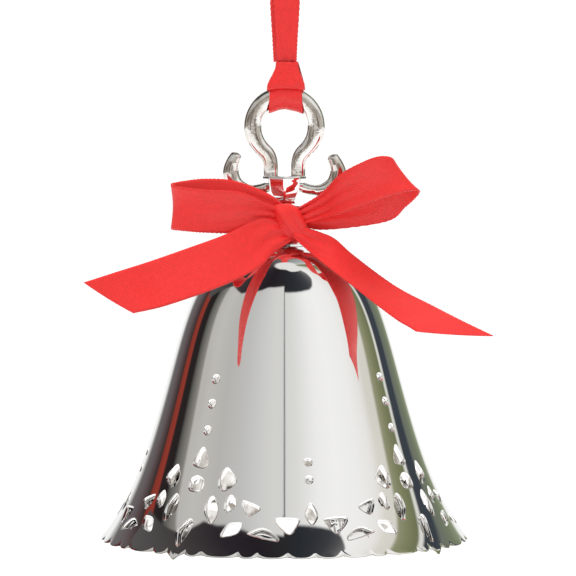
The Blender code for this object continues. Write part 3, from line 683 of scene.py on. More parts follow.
# The collar, neck and foot, from the bolt hole round the outside: radius, height, and how
# flat-sided the section is there, from round (0) to eight-sided (1).
COLLAR_OUTLINE = (
    (0.0, 0.0741, 0), (0.00155, 0.0741, 0), (0.00155, 0.0652, 0), (0.0045, 0.0652, 0),
    (0.00472, 0.06528, 0), (0.0048, 0.0655, 0), (0.00472, 0.06575, 0), (0.0042, 0.0661, 0),
    (0.0033, 0.0666, 0), (0.00265, 0.0672, 0), (0.00235, 0.0681, 0), (0.0023, 0.0690, 0),
    (0.0023, 0.0733, 0), (0.0025, 0.0740, 0.4), (0.0031, 0.0747, 0.8), (0.0037, 0.0754, 1),
    (0.00425, 0.0766, 1), (0.00458, 0.0780, 1), (0.00470, 0.0790, 1), (0.00480, 0.0793, 1),
    (0.00480, 0.0797, 1), (0.00474, 0.0799, 1), (0.00455, 0.0800, 1), (0.0030, 0.0800, 1),
    (0.0, 0.0800, 0),
)


def loop_path(t):
    """The omega loop's middle line, from the left leg's foot over the top to the right leg's."""
    centre = Vector((0.0, 0.0, LOOP_CENTRE))
    side = -1.0 if t <= 0.5 else 1.0
    share = min(t, 1.0 - t)
    joint = centre + Vector((math.cos(OPEN_ANGLE), 0.0, -math.sin(OPEN_ANGLE))) * LOOP_MID_RADIUS
    if share <= 0.16:
        start = Vector((0.0030, 0.0, LEG_FOOT))
        inward = Vector((math.sin(OPEN_ANGLE), 0.0, math.cos(OPEN_ANGLE)))
        here = bezier(start, start + Vector((0.0, 0.0, 0.0020)), joint - inward * 0.0022, joint,
                      share / 0.16)
    else:
        angle = -OPEN_ANGLE + (OPEN_ANGLE + math.pi / 2) * (share - 0.16) / 0.34
        here = centre + Vector((math.cos(angle), 0.0, math.sin(angle))) * LOOP_MID_RADIUS
    return Vector((here.x * side, here.y, here.z))


def swept_bar(bm, path, across, depth, stations, sides, squareness):
    """A solid bar in the XZ plane along path(t); across(t) and depth(t) are its full sizes."""
    def place(u, v):
        here = path(v)
        ahead = path(min(v + 1e-3, 1.0)) - path(max(v - 1e-3, 0.0))
        side = Vector((ahead.z, 0.0, -ahead.x)).normalized()
        c, s = math.cos(2 * math.pi * u), math.sin(2 * math.pi * u)
        x = math.copysign(abs(c) ** squareness, c) * across(v) / 2
        y = math.copysign(abs(s) ** squareness, s) * depth(v) / 2
        return here + side * x + Vector((0.0, y, 0.0))

    shaped_grid(bm, sides, stations, place, closed=True, capped=True)


def turned(bm, profile, sides):
    """Turns (radius, height) points about the bell's axis; an end at radius 0 closes in a pole."""
    chain = [bm.verts.new((radius, 0.0, height)) for radius, height in profile]
    edges = [bm.edges.new(pair) for pair in zip(chain, chain[1:])]
    bmesh.ops.spin(bm, geom=chain + edges, cent=(0.0, 0.0, 0.0), axis=(0.0, 0.0, 1.0),
                   angle=2 * math.pi, steps=sides, use_merge=True)
    bmesh.ops.remove_doubles(bm, verts=bm.verts, dist=1e-7)


def hook_piece(node, side, rise):
    """An upturned hook: a thin root, a full arm and a rounded tip that leans inwards."""
    tip = 0.0847 + rise
    route = [Vector((x * side, 0.0, z)) for x, z in (
        (0.0036, 0.0776), (0.0059, 0.0770), (0.0085, 0.07695), (0.0108, 0.0783),
        (0.0117, 0.0806), (0.0113, tip - 0.0022), (0.0102, tip))]

    def along(t):
        return smooth_point(route, 1.0 - (1.0 - t) ** 1.6)

    def across(t):
        share = 1.0 - (1.0 - t) ** 1.6
        swell = math.sin(math.pi * min(max((share - 0.22) / 0.78, 0.0), 1.0)) ** 0.8
        cap = max(share - 0.93, 0.0) / 0.07
        return (0.0024 - 0.0003 * share + 0.0013 * swell) * math.sqrt(max(1.0 - cap * cap, 0.0))

    bm = bmesh.new()
    swept_bar(bm, along, across, lambda t: min(across(t), 0.0030), 110, 32, 0.84)
    finish_piece(node + "_cast", bm, cast_silver(), "bell", node)


class ORNAMENT_OT_crown(bpy.types.Operator):
    """Build the hanging loop, the eight-sided collar with its neck and foot, and the two hooks"""
    bl_idname = "ornament.crown"
    bl_label = "Crown"

    def execute(self, context):
        bm = bmesh.new()
        swept_bar(bm, loop_path,
                  lambda t: 0.0031 + 0.0007 * smoothstep(0.0, 0.3, min(t, 1.0 - t)),
                  lambda t: 0.0031 + 0.0005 * smoothstep(0.0, 0.3, min(t, 1.0 - t)), 220, 40, 0.70)
        finish_piece("omega_loop", bm, cast_silver(), "bell", "crown_loop")

        def place(u, v):
            radius, height, flat = COLLAR_OUTLINE[round(v * (len(COLLAR_OUTLINE) - 1))]
            angle = 2 * math.pi * u
            off = (angle % (math.pi / 4)) - math.pi / 8
            side = min(math.cos(math.pi / 8) / math.cos(off), 0.985)
            radius *= 1.0 + (side - 1.0) * flat
            return Vector((radius * math.sin(angle), -radius * math.cos(angle), height))

        bm = bmesh.new()
        shaped_grid(bm, 192, len(COLLAR_OUTLINE) - 1, place, closed=True)
        bmesh.ops.subdivide_edges(bm, edges=[edge for edge in bm.edges if edge.calc_length() > 0.0009],
                                  cuts=2)
        stem = finish_piece("collar_and_neck", bm, silver_plate(), "bell", "crown_stem")
        stem.data.set_sharp_from_angle(angle=math.radians(24.0))
        hook_piece("left_hook", -1.0, 0.0004)
        hook_piece("right_hook", 1.0, 0.0)
        return {"FINISHED"}


# ================================================================ the bolt and the clapper
HOLE_RADIUS = 0.00155                            # through the washer and the nut
BOLT_RADIUS = 0.00125
THREAD_PITCH = 0.00045
EYE_HEIGHT = 0.0560                              # the three rings' centres, down the bell's axis
LINK_HEIGHT = 0.0527
ROD_EYE_HEIGHT = 0.0496
BALL_HEIGHT = 0.0135
BALL_RADIUS = 0.0055


def ring_of_wire(bm, height, radius, wire, axis):
    """A closed ring of round wire: a circle spun about the ring's own axis, along X or Y."""
    centre = Vector((0.0, 0.0, height))
    made = bmesh.ops.create_circle(bm, segments=18, radius=wire)["verts"]
    spun = Vector((0.0, 1.0, 0.0)) if axis == "Y" else Vector((1.0, 0.0, 0.0))
    side = Vector((1.0, 0.0, 0.0)) if axis == "Y" else Vector((0.0, 1.0, 0.0))
    turn = Matrix((side, spun, Vector((0.0, 0.0, 1.0)))).transposed().to_4x4()
    bmesh.ops.transform(bm, matrix=Matrix.Translation(centre + side * radius) @ turn,
                        verts=made)
    edges = list({edge for vert in made for edge in vert.link_edges})
    bmesh.ops.spin(bm, geom=made + edges, cent=centre, axis=spun, angle=2 * math.pi, steps=56,
                   use_merge=True)


def threaded_shank(radius, bottom, top, pitch):
    """The profile of a ridged shank from its foot to its head, for turning."""
    points = [(0.0, bottom), (radius * 0.86, bottom)]
    count = int((top - bottom - 0.0006) / pitch)
    for k in range(count):
        low = bottom + 0.0003 + pitch * k
        points += [(radius * 0.86, low), (radius, low + pitch * 0.5)]
    return points + [(radius * 0.86, top - 0.0002), (radius * 0.7, top), (0.0, top)]


class ORNAMENT_OT_hardware(bpy.types.Operator):
    """Build the eye bolt, its washer and lock nut, and the clapper on its link"""
    bl_idname = "ornament.hardware"
    bl_label = "Bolt and Clapper"

    def execute(self, context):
        steel = bright_steel()
        bm = bmesh.new()
        turned(bm, threaded_shank(BOLT_RADIUS, 0.0586, 0.0736, THREAD_PITCH), 40)
        ring_of_wire(bm, EYE_HEIGHT, 0.0024, 0.0008, "Y")
        finish_piece("eye_bolt_steel", bm, steel, "bell", "eye_bolt")

        bm = bmesh.new()
        turned(bm, ((HOLE_RADIUS, 0.0634), (0.0032, 0.0634), (0.00336, 0.06335), (0.0034, 0.06325),
                    (0.0034, 0.06295), (0.00336, 0.06285), (0.0032, 0.0628), (HOLE_RADIUS, 0.0628),
                    (HOLE_RADIUS, 0.0634)), 64)
        finish_piece("washer_steel", bm, steel, "bell", "eye_washer")

        section = ((HOLE_RADIUS, 0.0605), (0.0023, 0.0605), (0.0029, 0.0608), (0.0029, 0.0622),
                   (0.0023, 0.0625), (HOLE_RADIUS, 0.0625))

        def hexagon(u, v):
            radius, height = section[round(v * 6) % 6]
            angle = 2 * math.pi * u
            off = (angle % (math.pi / 3)) - math.pi / 6
            radius = min(radius, 0.00249 / math.cos(off))
            return Vector((radius * math.cos(angle), radius * math.sin(angle), height))

        bm = bmesh.new()
        shaped_grid(bm, 96, 6, hexagon, closed=True)
        nut = finish_piece("lock_nut_steel", bm, steel, "bell", "lock_nut")
        nut.data.set_sharp_from_angle(angle=math.radians(28.0))

        bm = bmesh.new()
        ring_of_wire(bm, LINK_HEIGHT, 0.0026, 0.00058, "X")
        finish_piece("link_steel", bm, steel, "link", "clapper_link")

        bm = bmesh.new()
        turned(bm, ((0.0, 0.0153), (0.00045, 0.0153), (0.0006, 0.01545), (0.0006, 0.0478),
                    (0.0, 0.0478)), 20)
        ring_of_wire(bm, ROD_EYE_HEIGHT, 0.0020, 0.0006, "Y")
        finish_piece("clapper_wire", bm, steel, "clapper", "clapper_rod")

        ball = [(0.0, 0.0150), (0.0009, 0.0150), (0.0009, 0.0192), (0.0016, 0.0192),
                (0.0019, 0.0190)]
        for k in range(1, 40):
            turn = math.radians(70.0 - 160.0 * k / 39)
            seam = 0.00006 * math.exp(-(turn / 0.03) ** 2)
            ball.append(((BALL_RADIUS + seam) * math.cos(turn),
                         BALL_HEIGHT + BALL_RADIUS * math.sin(turn)))
        bm = bmesh.new()
        turned(bm, ball, 72)
        finish_piece("clapper_ball_steel", bm, steel, "clapper", "clapper_ball")
        return {"FINISHED"}


# ================================================================ the ribbons
PICOT_REACH = 0.00007                            # the tiny loops of thread along a woven edge
PICOT_PITCH = 0.0007
BAND_BOTTOM = 0.0682                             # the band round the crown's neck
BAND_HEIGHT = 0.0052
FOLD_PITCH = 0.0016


def millimetres(points):
    return [Vector(point) / 1000.0 for point in points]


def line_length(points, steps=160):
    spots = [smooth_point(points, k / steps) for k in range(steps + 1)]
    return sum((b - a).length for a, b in zip(spots, spots[1:]))


def strip_length(upper, lower):
    """The length midway between two edge lines, in metres; the lines are in millimetres."""
    return line_length([(a + b) / 2 for a, b in zip(millimetres(upper), millimetres(lower))])


def ribbon_strip(upper, lower, width, pleats, cup, along=150, across=18):
    """A woven strip between two edge lines, with pleats, a cupped section and picot edges.

    Each pleat is (place along from 0 to 1, reach, height, how many across, slant)."""
    top, low = millimetres(upper), millimetres(lower)
    middle = [(a + b) / 2 for a, b in zip(top, low)]
    length = strip_length(upper, lower)

    def place(u, v):
        a, b = smooth_point(low, v), smooth_point(top, v)
        ahead = smooth_point(middle, min(v + 0.01, 1.0)) - smooth_point(middle, max(v - 0.01, 0.0))
        normal = ahead.cross(b - a).normalized()
        lift = cup * (1.0 - (2 * u - 1) ** 2)
        for spot, reach, height, count, slant in pleats:
            fade = math.exp(-((v - spot) / reach) ** 2)
            lift += height * fade * math.cos(2 * math.pi * (count * u + slant * (v - spot)))
        if u in (0.0, 1.0):
            picot = PICOT_REACH * math.sin(2 * math.pi * v * length / PICOT_PITCH)
            a, b = a - (b - a).normalized() * picot, b + (b - a).normalized() * picot
        return a.lerp(b, u) + normal * lift

    bm = bmesh.new()
    shaped_grid(bm, across, along, place, uv=lambda u, v, at: (v * length, u * width))
    bmesh.ops.recalc_face_normals(bm, faces=bm.faces)
    bmesh.ops.solidify(bm, geom=bm.faces[:], thickness=ribbons().thickness)
    return bm


def bow_ribbon(node, upper, lower, pleats, cup):
    bm = ribbon_strip(upper, lower, ribbons().bow_width, pleats, cup)
    piece = finish_piece(node + "_satin", bm, satin(), "bell", node)
    strip_length(upper, lower)


def soft_block(name, size, centre, folds, lean, node, body):
    """A knot: a rounded block creased by folds, each (across, up, how many, height, phase)."""
    middle = Vector(centre)

    def place(u, v):
        turn, rise = 2 * math.pi * u, math.pi * (v - 0.5)
        c, s = math.cos(rise), math.sin(rise)
        flat = [math.cos(turn) * c, math.sin(turn) * c, s]
        round_part = [math.copysign(abs(value) ** 0.72, value) for value in flat]
        point = Vector([value * half / 2 for value, half in zip(round_part, size)])
        crease = 0.0
        for across, up, count, height, phase in folds:
            wave = math.cos(count * (across * round_part[0] + up * round_part[2]) + phase)
            crease += height * (abs(wave) - 0.5) * c
        point += Vector(flat) * crease
        point.x -= point.z * lean
        return middle + point

    bm = bmesh.new()
    shaped_grid(bm, 120, 72, place, closed=True,
                uv=lambda u, v, at: (at.x + at.y * 0.7, at.z))
    return finish_piece(name, bm, satin(), body, node)


class ORNAMENT_OT_bow(bpy.types.Operator):
    """Tie the satin bow: its band, knot, two loops and two tails"""
    bl_idname = "ornament.bow"
    bl_label = "Bow"

    def execute(self, context):
        def band(u, v):
            step = round(v * 20)
            share = step / 12 if step <= 12 else (19.0 - step) / 7
            height = BAND_BOTTOM + BAND_HEIGHT * min(max(share, 0.0), 1.0)
            angle = 2 * math.pi * u
            turns = (height - BAND_BOTTOM) / FOLD_PITCH
            fold = 0.00016 * math.sin(2 * math.pi * turns + math.sin(angle))
            radius = (0.0032 if step <= 12 else 0.0029) + fold
            return Vector((radius * math.sin(angle), -radius * math.cos(angle), height))

        bm = bmesh.new()
        shaped_grid(bm, 96, 20, band, closed=True, uv=lambda u, v, at: (u * 0.020, at.z))
        bmesh.ops.bridge_loops(bm, edges=[edge for edge in bm.edges if edge.is_boundary])
        finish_piece("neck_band_satin", bm, satin(), "bell", "bow_neck_band")

        soft_block("bow_knot_satin", (0.0066, 0.0056, 0.0084), (0.0012, -0.0073, 0.0700),
                   ((0.9, 0.55, 3.2, 0.00034, 0.4), (1.0, 0.5, 6.3, 0.00012, 1.1)), 0.30,
                   "bow_knot", "bell")
        bow_ribbon("bow_left_loop",
                   ((0.4, -7.6, 71.8), (-3.4, -9.6, 74.0), (-9.5, -14.0, 76.9), (-17.0, -17.0, 77.4),
                    (-21.8, -17.5, 78.0), (-24.2, -14.5, 78.6), (-22.2, -10.8, 79.1),
                    (-17.2, -8.0, 79.6), (-10.7, -6.6, 79.1), (-3.6, -5.6, 76.4), (0.4, -5.4, 73.4)),
                   ((0.4, -7.9, 69.2), (-3.4, -9.8, 69.6), (-10.4, -14.0, 68.1), (-17.0, -17.0, 68.2),
                    (-21.8, -17.5, 68.6), (-24.2, -14.5, 68.9), (-22.2, -10.8, 69.4),
                    (-17.4, -8.0, 70.0), (-10.7, -6.6, 70.2), (-3.6, -5.6, 71.0), (0.4, -5.4, 70.4)),
                   ((0.06, 0.14, 0.00030, 2.5, 1.5), (0.96, 0.12, 0.00028, 2.2, -1.0),
                    (0.34, 0.16, 0.00010, 1.3, 2.0)), 0.0004)
        bow_ribbon("bow_right_loop",
                   ((2.4, -7.8, 73.0), (7.8, -9.6, 76.4), (11.8, -13.4, 80.6), (16.8, -16.4, 83.4),
                    (20.2, -17.0, 84.6), (22.9, -14.6, 84.2), (23.6, -11.2, 82.4), (21.2, -8.4, 79.7),
                    (16.6, -6.6, 76.9), (8.0, -5.6, 74.6), (2.6, -5.4, 73.0)),
                   ((2.6, -8.0, 69.4), (7.9, -9.6, 70.9), (12.6, -13.4, 72.4), (18.2, -16.4, 74.6),
                    (23.6, -17.0, 76.4), (28.3, -14.6, 77.2), (28.9, -11.2, 76.2), (26.2, -8.4, 73.4),
                    (22.0, -6.6, 70.2), (8.4, -5.6, 68.4), (2.6, -5.4, 69.8)),
                   ((0.08, 0.15, 0.00032, 2.8, -1.2), (0.95, 0.12, 0.00026, 2.2, 1.0),
                    (0.36, 0.14, 0.00010, 1.4, 1.0)), -0.0004)
        bow_ribbon("bow_left_tail",
                   ((0.6, -8.8, 69.0), (-3.6, -10.6, 71.0), (-7.4, -13.0, 70.3), (-12.7, -18.0, 67.9),
                    (-20.1, -24.0, 65.4), (-28.4, -31.0, 62.7), (-34.8, -38.0, 60.9),
                    (-41.5, -46.0, 59.0)),
                   ((1.6, -9.8, 66.4), (-1.8, -12.6, 63.9), (-5.0, -17.0, 61.2), (-9.9, -22.0, 58.6),
                    (-16.8, -28.0, 56.0), (-24.5, -35.0, 53.7), (-28.4, -39.0, 52.9),
                    (-31.4, -41.0, 52.3)),
                   ((0.10, 0.16, 0.00026, 2.2, 1.2), (0.45, 0.20, 0.00012, 0.8, 1.5)), 0.0003)
        bow_ribbon("bow_right_tail",
                   ((2.6, -9.2, 69.8), (8.0, -8.4, 67.8), (10.9, -8.6, 66.4), (14.2, -9.0, 63.4),
                    (18.9, -9.6, 59.8), (24.9, -11.6, 55.8), (31.3, -15.0, 52.6), (37.5, -20.0, 49.6),
                    (44.5, -24.0, 46.4)),
                   ((1.8, -10.6, 66.9), (6.4, -12.4, 62.8), (9.8, -14.6, 60.3), (12.6, -16.0, 58.2),
                    (15.3, -17.0, 56.1), (19.4, -19.0, 53.0), (24.0, -21.0, 49.7), (26.6, -22.2, 48.2),
                    (28.1, -23.0, 47.3)),
                   ((0.08, 0.14, 0.00026, 2.4, -1.4), (0.50, 0.20, 0.00012, 0.8, -1.5)), -0.0003)
        return {"FINISHED"}


# Each strand's route from the hitch to the knot: Y and height, in millimetres.
STRAND_ROUTE = ((-0.9, 104.9), (-0.8, 110.0), (-0.6, 118.0), (-0.5, 126.0), (-0.8, 130.0),
                (-2.6, 132.8), (-3.6, 136.0), (-2.7, 139.1), (-0.6, 140.9))
HITCH_HALF_WIDTH = 0.00365
HITCH_SHIFT = 0.0003                             # the hitch sits a little right of the axis


class ORNAMENT_OT_hanger(bpy.types.Operator):
    """Hang the ornament: the hitch on the loop, the two strands, their knot and its cut ends"""
    bl_idname = "ornament.hanger"
    bl_label = "Ribbon Hanger"

    def execute(self, context):
        self.hitch()
        knot = soft_block("hanger_knot_satin", (0.0078, 0.0056, 0.0064), (0.0, 0.0, 0.1445),
                          ((0.8, 0.8, 2.6, 0.0004, 0.3), (1.0, -0.6, 4.6, 0.00018, 1.2)), 0.0,
                          "hanger_knot", "hanger")
        ends = []
        for node, side in (("hanger_left_end", -1.0), ("hanger_right_end", 1.0)):
            route = ((0.6, 0.4, 146.6), (1.6, 0.6, 148.2), (2.4, 1.0, 152.0), (4.6, 1.6, 156.9))
            inner = [((x - 1.6) * side, y * side, z) for x, y, z in route]
            outer = [((x + 2.0) * side, y * side, z - 0.14 * max(z - 148.0, 0.0))
                     for x, y, z in route]
            bm = ribbon_strip(outer, inner, ribbons().hanger_width,
                              ((0.1, 0.3, 0.0002, 2.0, 0.5),), 0.0003, 40, 12)
            end = finish_piece(node + "_satin", bm, satin(), "hanger", node)
            ends.append(end)
        for node, side, shift in (("hanger_front_strand", 1.0, 0.45),
                                  ("hanger_back_strand", -1.0, -0.25)):
            self.strand(node, side, shift, [knot] + ends if side > 0 else [])
        return {"FINISHED"}

    def strand(self, node, side, shift, with_pieces):
        """One flat strand, cupped and creased lengthwise, from the hitch to the knot."""
        left, right, route = [], [], []
        for y, z in STRAND_ROUTE:
            half = min(2.1 + (z - 104.9) * 0.060, ribbons().hanger_width * 500.0)
            x = shift * min(max((141.0 - z) / 16.0, 0.0), 1.0)
            left.append((x - half, y * side + 0.25 * side, z))
            right.append((x + half, y * side - 0.15 * side, z))
            route.append(Vector((x / 1000.0, y * side / 1000.0, z / 1000.0 + RIM_LEVEL)))
        bm = ribbon_strip(right, left, ribbons().hanger_width,
                          ((0.0, 0.9, 0.00012, 1.6, 0.9), (0.0, 0.10, 0.0002, 2.5, 0.0)),
                          0.0002, 150, 14)
        piece = finish_piece(node + "_satin", bm, satin(), "hanger", node)
        path = [smooth_point(route, k / 40) for k in range(41)]
        tuple(path[0])
        line_length(route)
        [tuple(point) for point in path]

    def hitch(self):
        """Two turns side by side round the loop's top bar, under a creased crossing band."""
        def wrap(u, v):
            step = round(v * 40)
            outside = step <= 30
            edge = 2.0 * (step / 30 if outside else (40.0 - step) / 10) - 1.0
            roll = 2 * math.pi * u
            below = (1.0 - math.cos(roll)) / 2
            depth = 0.00262 + 0.00062 * below ** 2
            depth -= 0.00007 * math.exp(-(edge / 0.06) ** 2) + 0.00020 * abs(edge) ** 9
            depth += 0.00006 * math.cos(6.0 * edge + 2.0 * math.cos(roll)) + 0.00010 * below * edge
            if not outside:
                depth = 0.00228 + 0.00062 * below ** 2
            x = HITCH_HALF_WIDTH * edge * (1.0 + 0.03 * math.cos(roll - 2.4))
            centre = LOOP_CENTRE + math.sqrt(LOOP_MID_RADIUS ** 2 - x * x)
            return Vector((x + HITCH_SHIFT, depth * math.sin(roll),
                           centre + depth * math.cos(roll)))

        bm = bmesh.new()
        shaped_grid(bm, 84, 40, wrap, closed=True,
                    uv=lambda u, v, at: (at.x, u * 0.0165))
        # The crossing band over the wrap: height, width and depth.
        rows = ((0.0990, 0.0079, 0.0044), (0.0991, 0.0083, 0.0052), (0.0994, 0.0084, 0.0056),
                (0.1001, 0.0081, 0.0055), (0.1010, 0.0074, 0.0050), (0.1020, 0.0064, 0.0044),
                (0.1029, 0.0056, 0.0040), (0.1036, 0.0051, 0.0036), (0.1042, 0.0050, 0.0033),
                (0.1047, 0.0050, 0.0031), (0.10495, 0.0047, 0.0027))

        def crossing(u, v):
            place = v * (len(rows) - 1)
            k = min(int(place), len(rows) - 2)
            height, width, depth = (a + (b - a) * (place - k) for a, b in zip(rows[k], rows[k + 1]))
            c, s = math.cos(2 * math.pi * u), math.sin(2 * math.pi * u)
            x = math.copysign(abs(c) ** 0.55, c) * width / 2
            y = math.copysign(abs(s) ** 0.55, s) * depth / 2
            fold = 0.00016 * math.cos(2 * math.pi * (x / 0.0026 + (height - 0.1) / 0.006))
            fold += 0.00008 * math.cos(2 * math.pi * (x / 0.0011 - (height - 0.1) / 0.004))
            sag = -0.00035 * (x / 0.004) ** 2 * (1.0 if height < 0.0996 else 0.0)
            return Vector((x + HITCH_SHIFT + (height - 0.099) * 0.05, y + math.copysign(fold, s),
                           height + sag))

        shaped_grid(bm, 96, 44, crossing, closed=True, capped=True,
                    uv=lambda u, v, at: (at.x * 0.9 + at.z * 0.4, at.z - at.x * 0.4))
        finish_piece("hitch_satin", bm, satin(), "hitch", "hanger_hitch")


# ================================================================ the stage
# What stands round the ornament, as the metal mirrors it: degrees from the camera and a colour,
# to the left and then to the right. Above them is a dark ceiling with lists of its own.
# These colours were not chosen freely. A scratch script took medians of the photograph's pixels by
# mirror direction, and they are its results, rounded. The ceiling and edge lists began the same
# way and were then changed.
LEFT_SURROUNDINGS = (
    (180, (0.96, 0.96, 0.96)), (166, (0.90, 0.90, 0.90)), (158, (0.95, 0.95, 0.95)),
    (153, (0.52, 0.52, 0.51)), (148, (0.15, 0.14, 0.14)), (139, (0.13, 0.11, 0.12)),
    (131, (0.09, 0.06, 0.06)), (126, (0.04, 0.03, 0.03)), (123.5, (0.24, 0.038, 0.025)),
    (117.5, (0.30, 0.043, 0.030)), (115.5, (0.025, 0.018, 0.018)), (107, (0.018, 0.015, 0.015)),
    (103.5, (0.11, 0.11, 0.10)), (95, (0.24, 0.23, 0.21)), (92.5, (0.50, 0.49, 0.47)),
    (80, (0.54, 0.53, 0.50)), (60, (0.49, 0.48, 0.46)), (40, (0.54, 0.54, 0.53)),
    (20, (0.64, 0.64, 0.63)), (10, (0.68, 0.68, 0.66)), (1.1, (0.68, 0.68, 0.67)),
    (0, (0.12, 0.12, 0.11)),
)
RIGHT_SURROUNDINGS = (
    (0, (0.12, 0.12, 0.11)), (1.1, (0.70, 0.70, 0.69)), (10, (0.73, 0.73, 0.71)),
    (20, (0.81, 0.81, 0.80)), (30, (0.89, 0.89, 0.88)), (45, (0.93, 0.93, 0.92)),
    (65, (0.90, 0.90, 0.89)), (80, (0.84, 0.83, 0.81)), (88, (0.72, 0.70, 0.64)),
    (96, (0.70, 0.69, 0.62)), (99, (0.28, 0.29, 0.18)), (106, (0.22, 0.235, 0.125)),
    (115, (0.16, 0.18, 0.095)), (117, (0.75, 0.75, 0.70)), (119, (0.70, 0.70, 0.66)),
    (121, (0.045, 0.055, 0.065)), (131, (0.045, 0.055, 0.07)), (135, (0.15, 0.17, 0.14)),
    (146, (0.18, 0.21, 0.14)), (155, (0.27, 0.31, 0.20)), (160, (0.93, 0.94, 0.92)),
    (180, (0.96, 0.96, 0.96)),
)
LEFT_CEILING = (
    (180, (0.15, 0.15, 0.15)), (100, (0.06, 0.055, 0.055)), (60, (0.025, 0.02, 0.025)),
    (30, (0.018, 0.014, 0.018)), (0, (0.022, 0.022, 0.024)),
)
RIGHT_CEILING = (
    (0, (0.022, 0.022, 0.024)), (15, (0.022, 0.026, 0.032)), (30, (0.03, 0.033, 0.04)),
    (43, (0.045, 0.048, 0.055)), (52, (0.08, 0.08, 0.085)), (62, (0.16, 0.16, 0.16)),
    (72, (0.80, 0.80, 0.79)), (100, (0.93, 0.93, 0.92)), (125, (0.45, 0.48, 0.46)),
    (180, (0.20, 0.20, 0.20)),
)


def elevation(*stops):
    """Stops that give the sine of an elevation in degrees, as a grey."""
    return tuple((angle, (math.sin(math.radians(up)),) * 3) for angle, up in stops)


# Elevation in degrees where the dark ceiling begins, and where the bright skylight in it begins.
LEFT_EDGE = elevation((0, 58), (30, 55), (40, 51), (50, 48), (60, 46), (70, 42), (90, 42), (100, 36),
                      (110, 29), (120, 22), (130, 26), (145, 50), (180, 60))
RIGHT_EDGE = elevation((0, 52), (45, 51), (52, 53), (62, 60), (70, 84), (110, 84), (130, 60),
                       (180, 60))
LEFT_TOP = elevation((0, 82), (180, 82))
RIGHT_TOP = elevation((0, 82), (15, 81), (30, 77), (50, 75), (68, 74), (100, 80), (180, 82))
# The unlit room near the camera, in dark and light patches.
ROOM_DARK = (0.15, 0.125, 0.105, 1.0)
ROOM_LIGHT = (0.56, 0.51, 0.46, 1.0)
SKYLIGHT = (0.80, 0.79, 0.77, 1.0)
SOFT_FILL = (0.46, 0.46, 0.46, 1.0)              # what lights a dull surface from all round
BACKDROP = (1.05, 1.05, 1.05, 1.0)
LIT_SPOT = Vector((0.0, 0.0, -0.06))             # where the lamps aim


def ramp(tree, stops):
    node = tree.nodes.new("ShaderNodeValToRGB")
    elements = node.color_ramp.elements
    while len(elements) < len(stops):
        elements.new(0.5)
    ordered = sorted((angle / 180.0, colour) for angle, colour in stops)
    for element, (place, colour) in zip(elements, ordered):
        element.position = place
        element.color = (*colour, 1.0)
    return node


def surroundings():
    """Studio cards and the room round the ornament, mirrored in its metal; white to the camera."""
    world = bpy.data.worlds.new("Studio")
    bpy.context.scene.world = world
    world.use_nodes = True
    tree = world.node_tree
    link = tree.links.new
    backdrop = tree.nodes["Background"]
    place = add_node(tree, "ShaderNodeTexCoord")
    split = add_node(tree, "ShaderNodeSeparateXYZ")
    link(place.outputs["Generated"], split.inputs["Vector"])
    right, ahead, up = (split.outputs[axis] for axis in "XYZ")

    def work_out(operation, *sources):
        node = add_node(tree, "ShaderNodeMath", operation=operation)
        for socket, source in zip(node.inputs, sources):
            if isinstance(source, float):
                socket.default_value = source
            else:
                link(source, socket)
        return node.outputs["Value"]

    def fade(value, low, high, start=0.0, end=1.0):
        node = add_node(tree, "ShaderNodeMapRange", interpolation_type="SMOOTHSTEP",
                        in_From_Min=low, in_From_Max=high, in_To_Min=start, in_To_Max=end)
        link(value, node.inputs["Value"])
        return node.outputs["Result"]

    def mix(factor, low, high):
        node = add_node(tree, "ShaderNodeMixRGB")
        link(factor, node.inputs["Fac"])
        for socket, source in ((node.inputs["Color1"], low), (node.inputs["Color2"], high)):
            if isinstance(source, tuple):
                socket.default_value = source
            else:
                link(source, socket)
        return node.outputs["Color"]

    def above_edge(edge, softness):
        """How far a direction is above an edge, whose height changes round the room."""
        return fade(work_out("SUBTRACT", up, edge), -softness, softness)

    turn = work_out("ARCTAN2", work_out("ABSOLUTE", right), work_out("MULTIPLY", ahead, -1.0))
    share = work_out("DIVIDE", turn, math.pi)
    sides = []
    for layers in ((LEFT_SURROUNDINGS, LEFT_CEILING, LEFT_EDGE, LEFT_TOP),
                   (RIGHT_SURROUNDINGS, RIGHT_CEILING, RIGHT_EDGE, RIGHT_TOP)):
        colours = []
        for stops in layers:
            node = ramp(tree, stops)
            link(share, node.inputs["Fac"])
            colours.append(node.outputs["Color"])
        low_part = mix(above_edge(colours[2], 0.012), colours[0], colours[1])
        sides.append(mix(above_edge(colours[3], 0.004), low_part, SKYLIGHT))
    both = mix(work_out("GREATER_THAN", right, 0.0), *sides)
    near_camera = work_out("MULTIPLY", fade(share, 0.30, 0.62, 1.0, 0.0),
                           fade(up, 0.20, 0.36, 1.0, 0.0))
    patches = add_node(tree, "ShaderNodeTexNoise", in_Scale=3.2, in_Detail=2.0)
    link(place.outputs["Generated"], patches.inputs["Vector"])
    patchy = add_node(tree, "ShaderNodeMapRange", in_From_Min=0.40, in_From_Max=0.60)
    link(patches.outputs["Fac"], patchy.inputs["Value"])
    room = mix(patchy.outputs["Result"], ROOM_DARK, ROOM_LIGHT)
    whole = mix(near_camera, both, room)
    path = add_node(tree, "ShaderNodeLightPath")
    soft = mix(path.outputs["Is Diffuse Ray"], whole, SOFT_FILL)
    seen = mix(path.outputs["Is Camera Ray"], soft, BACKDROP)
    link(seen, backdrop.inputs["Color"])


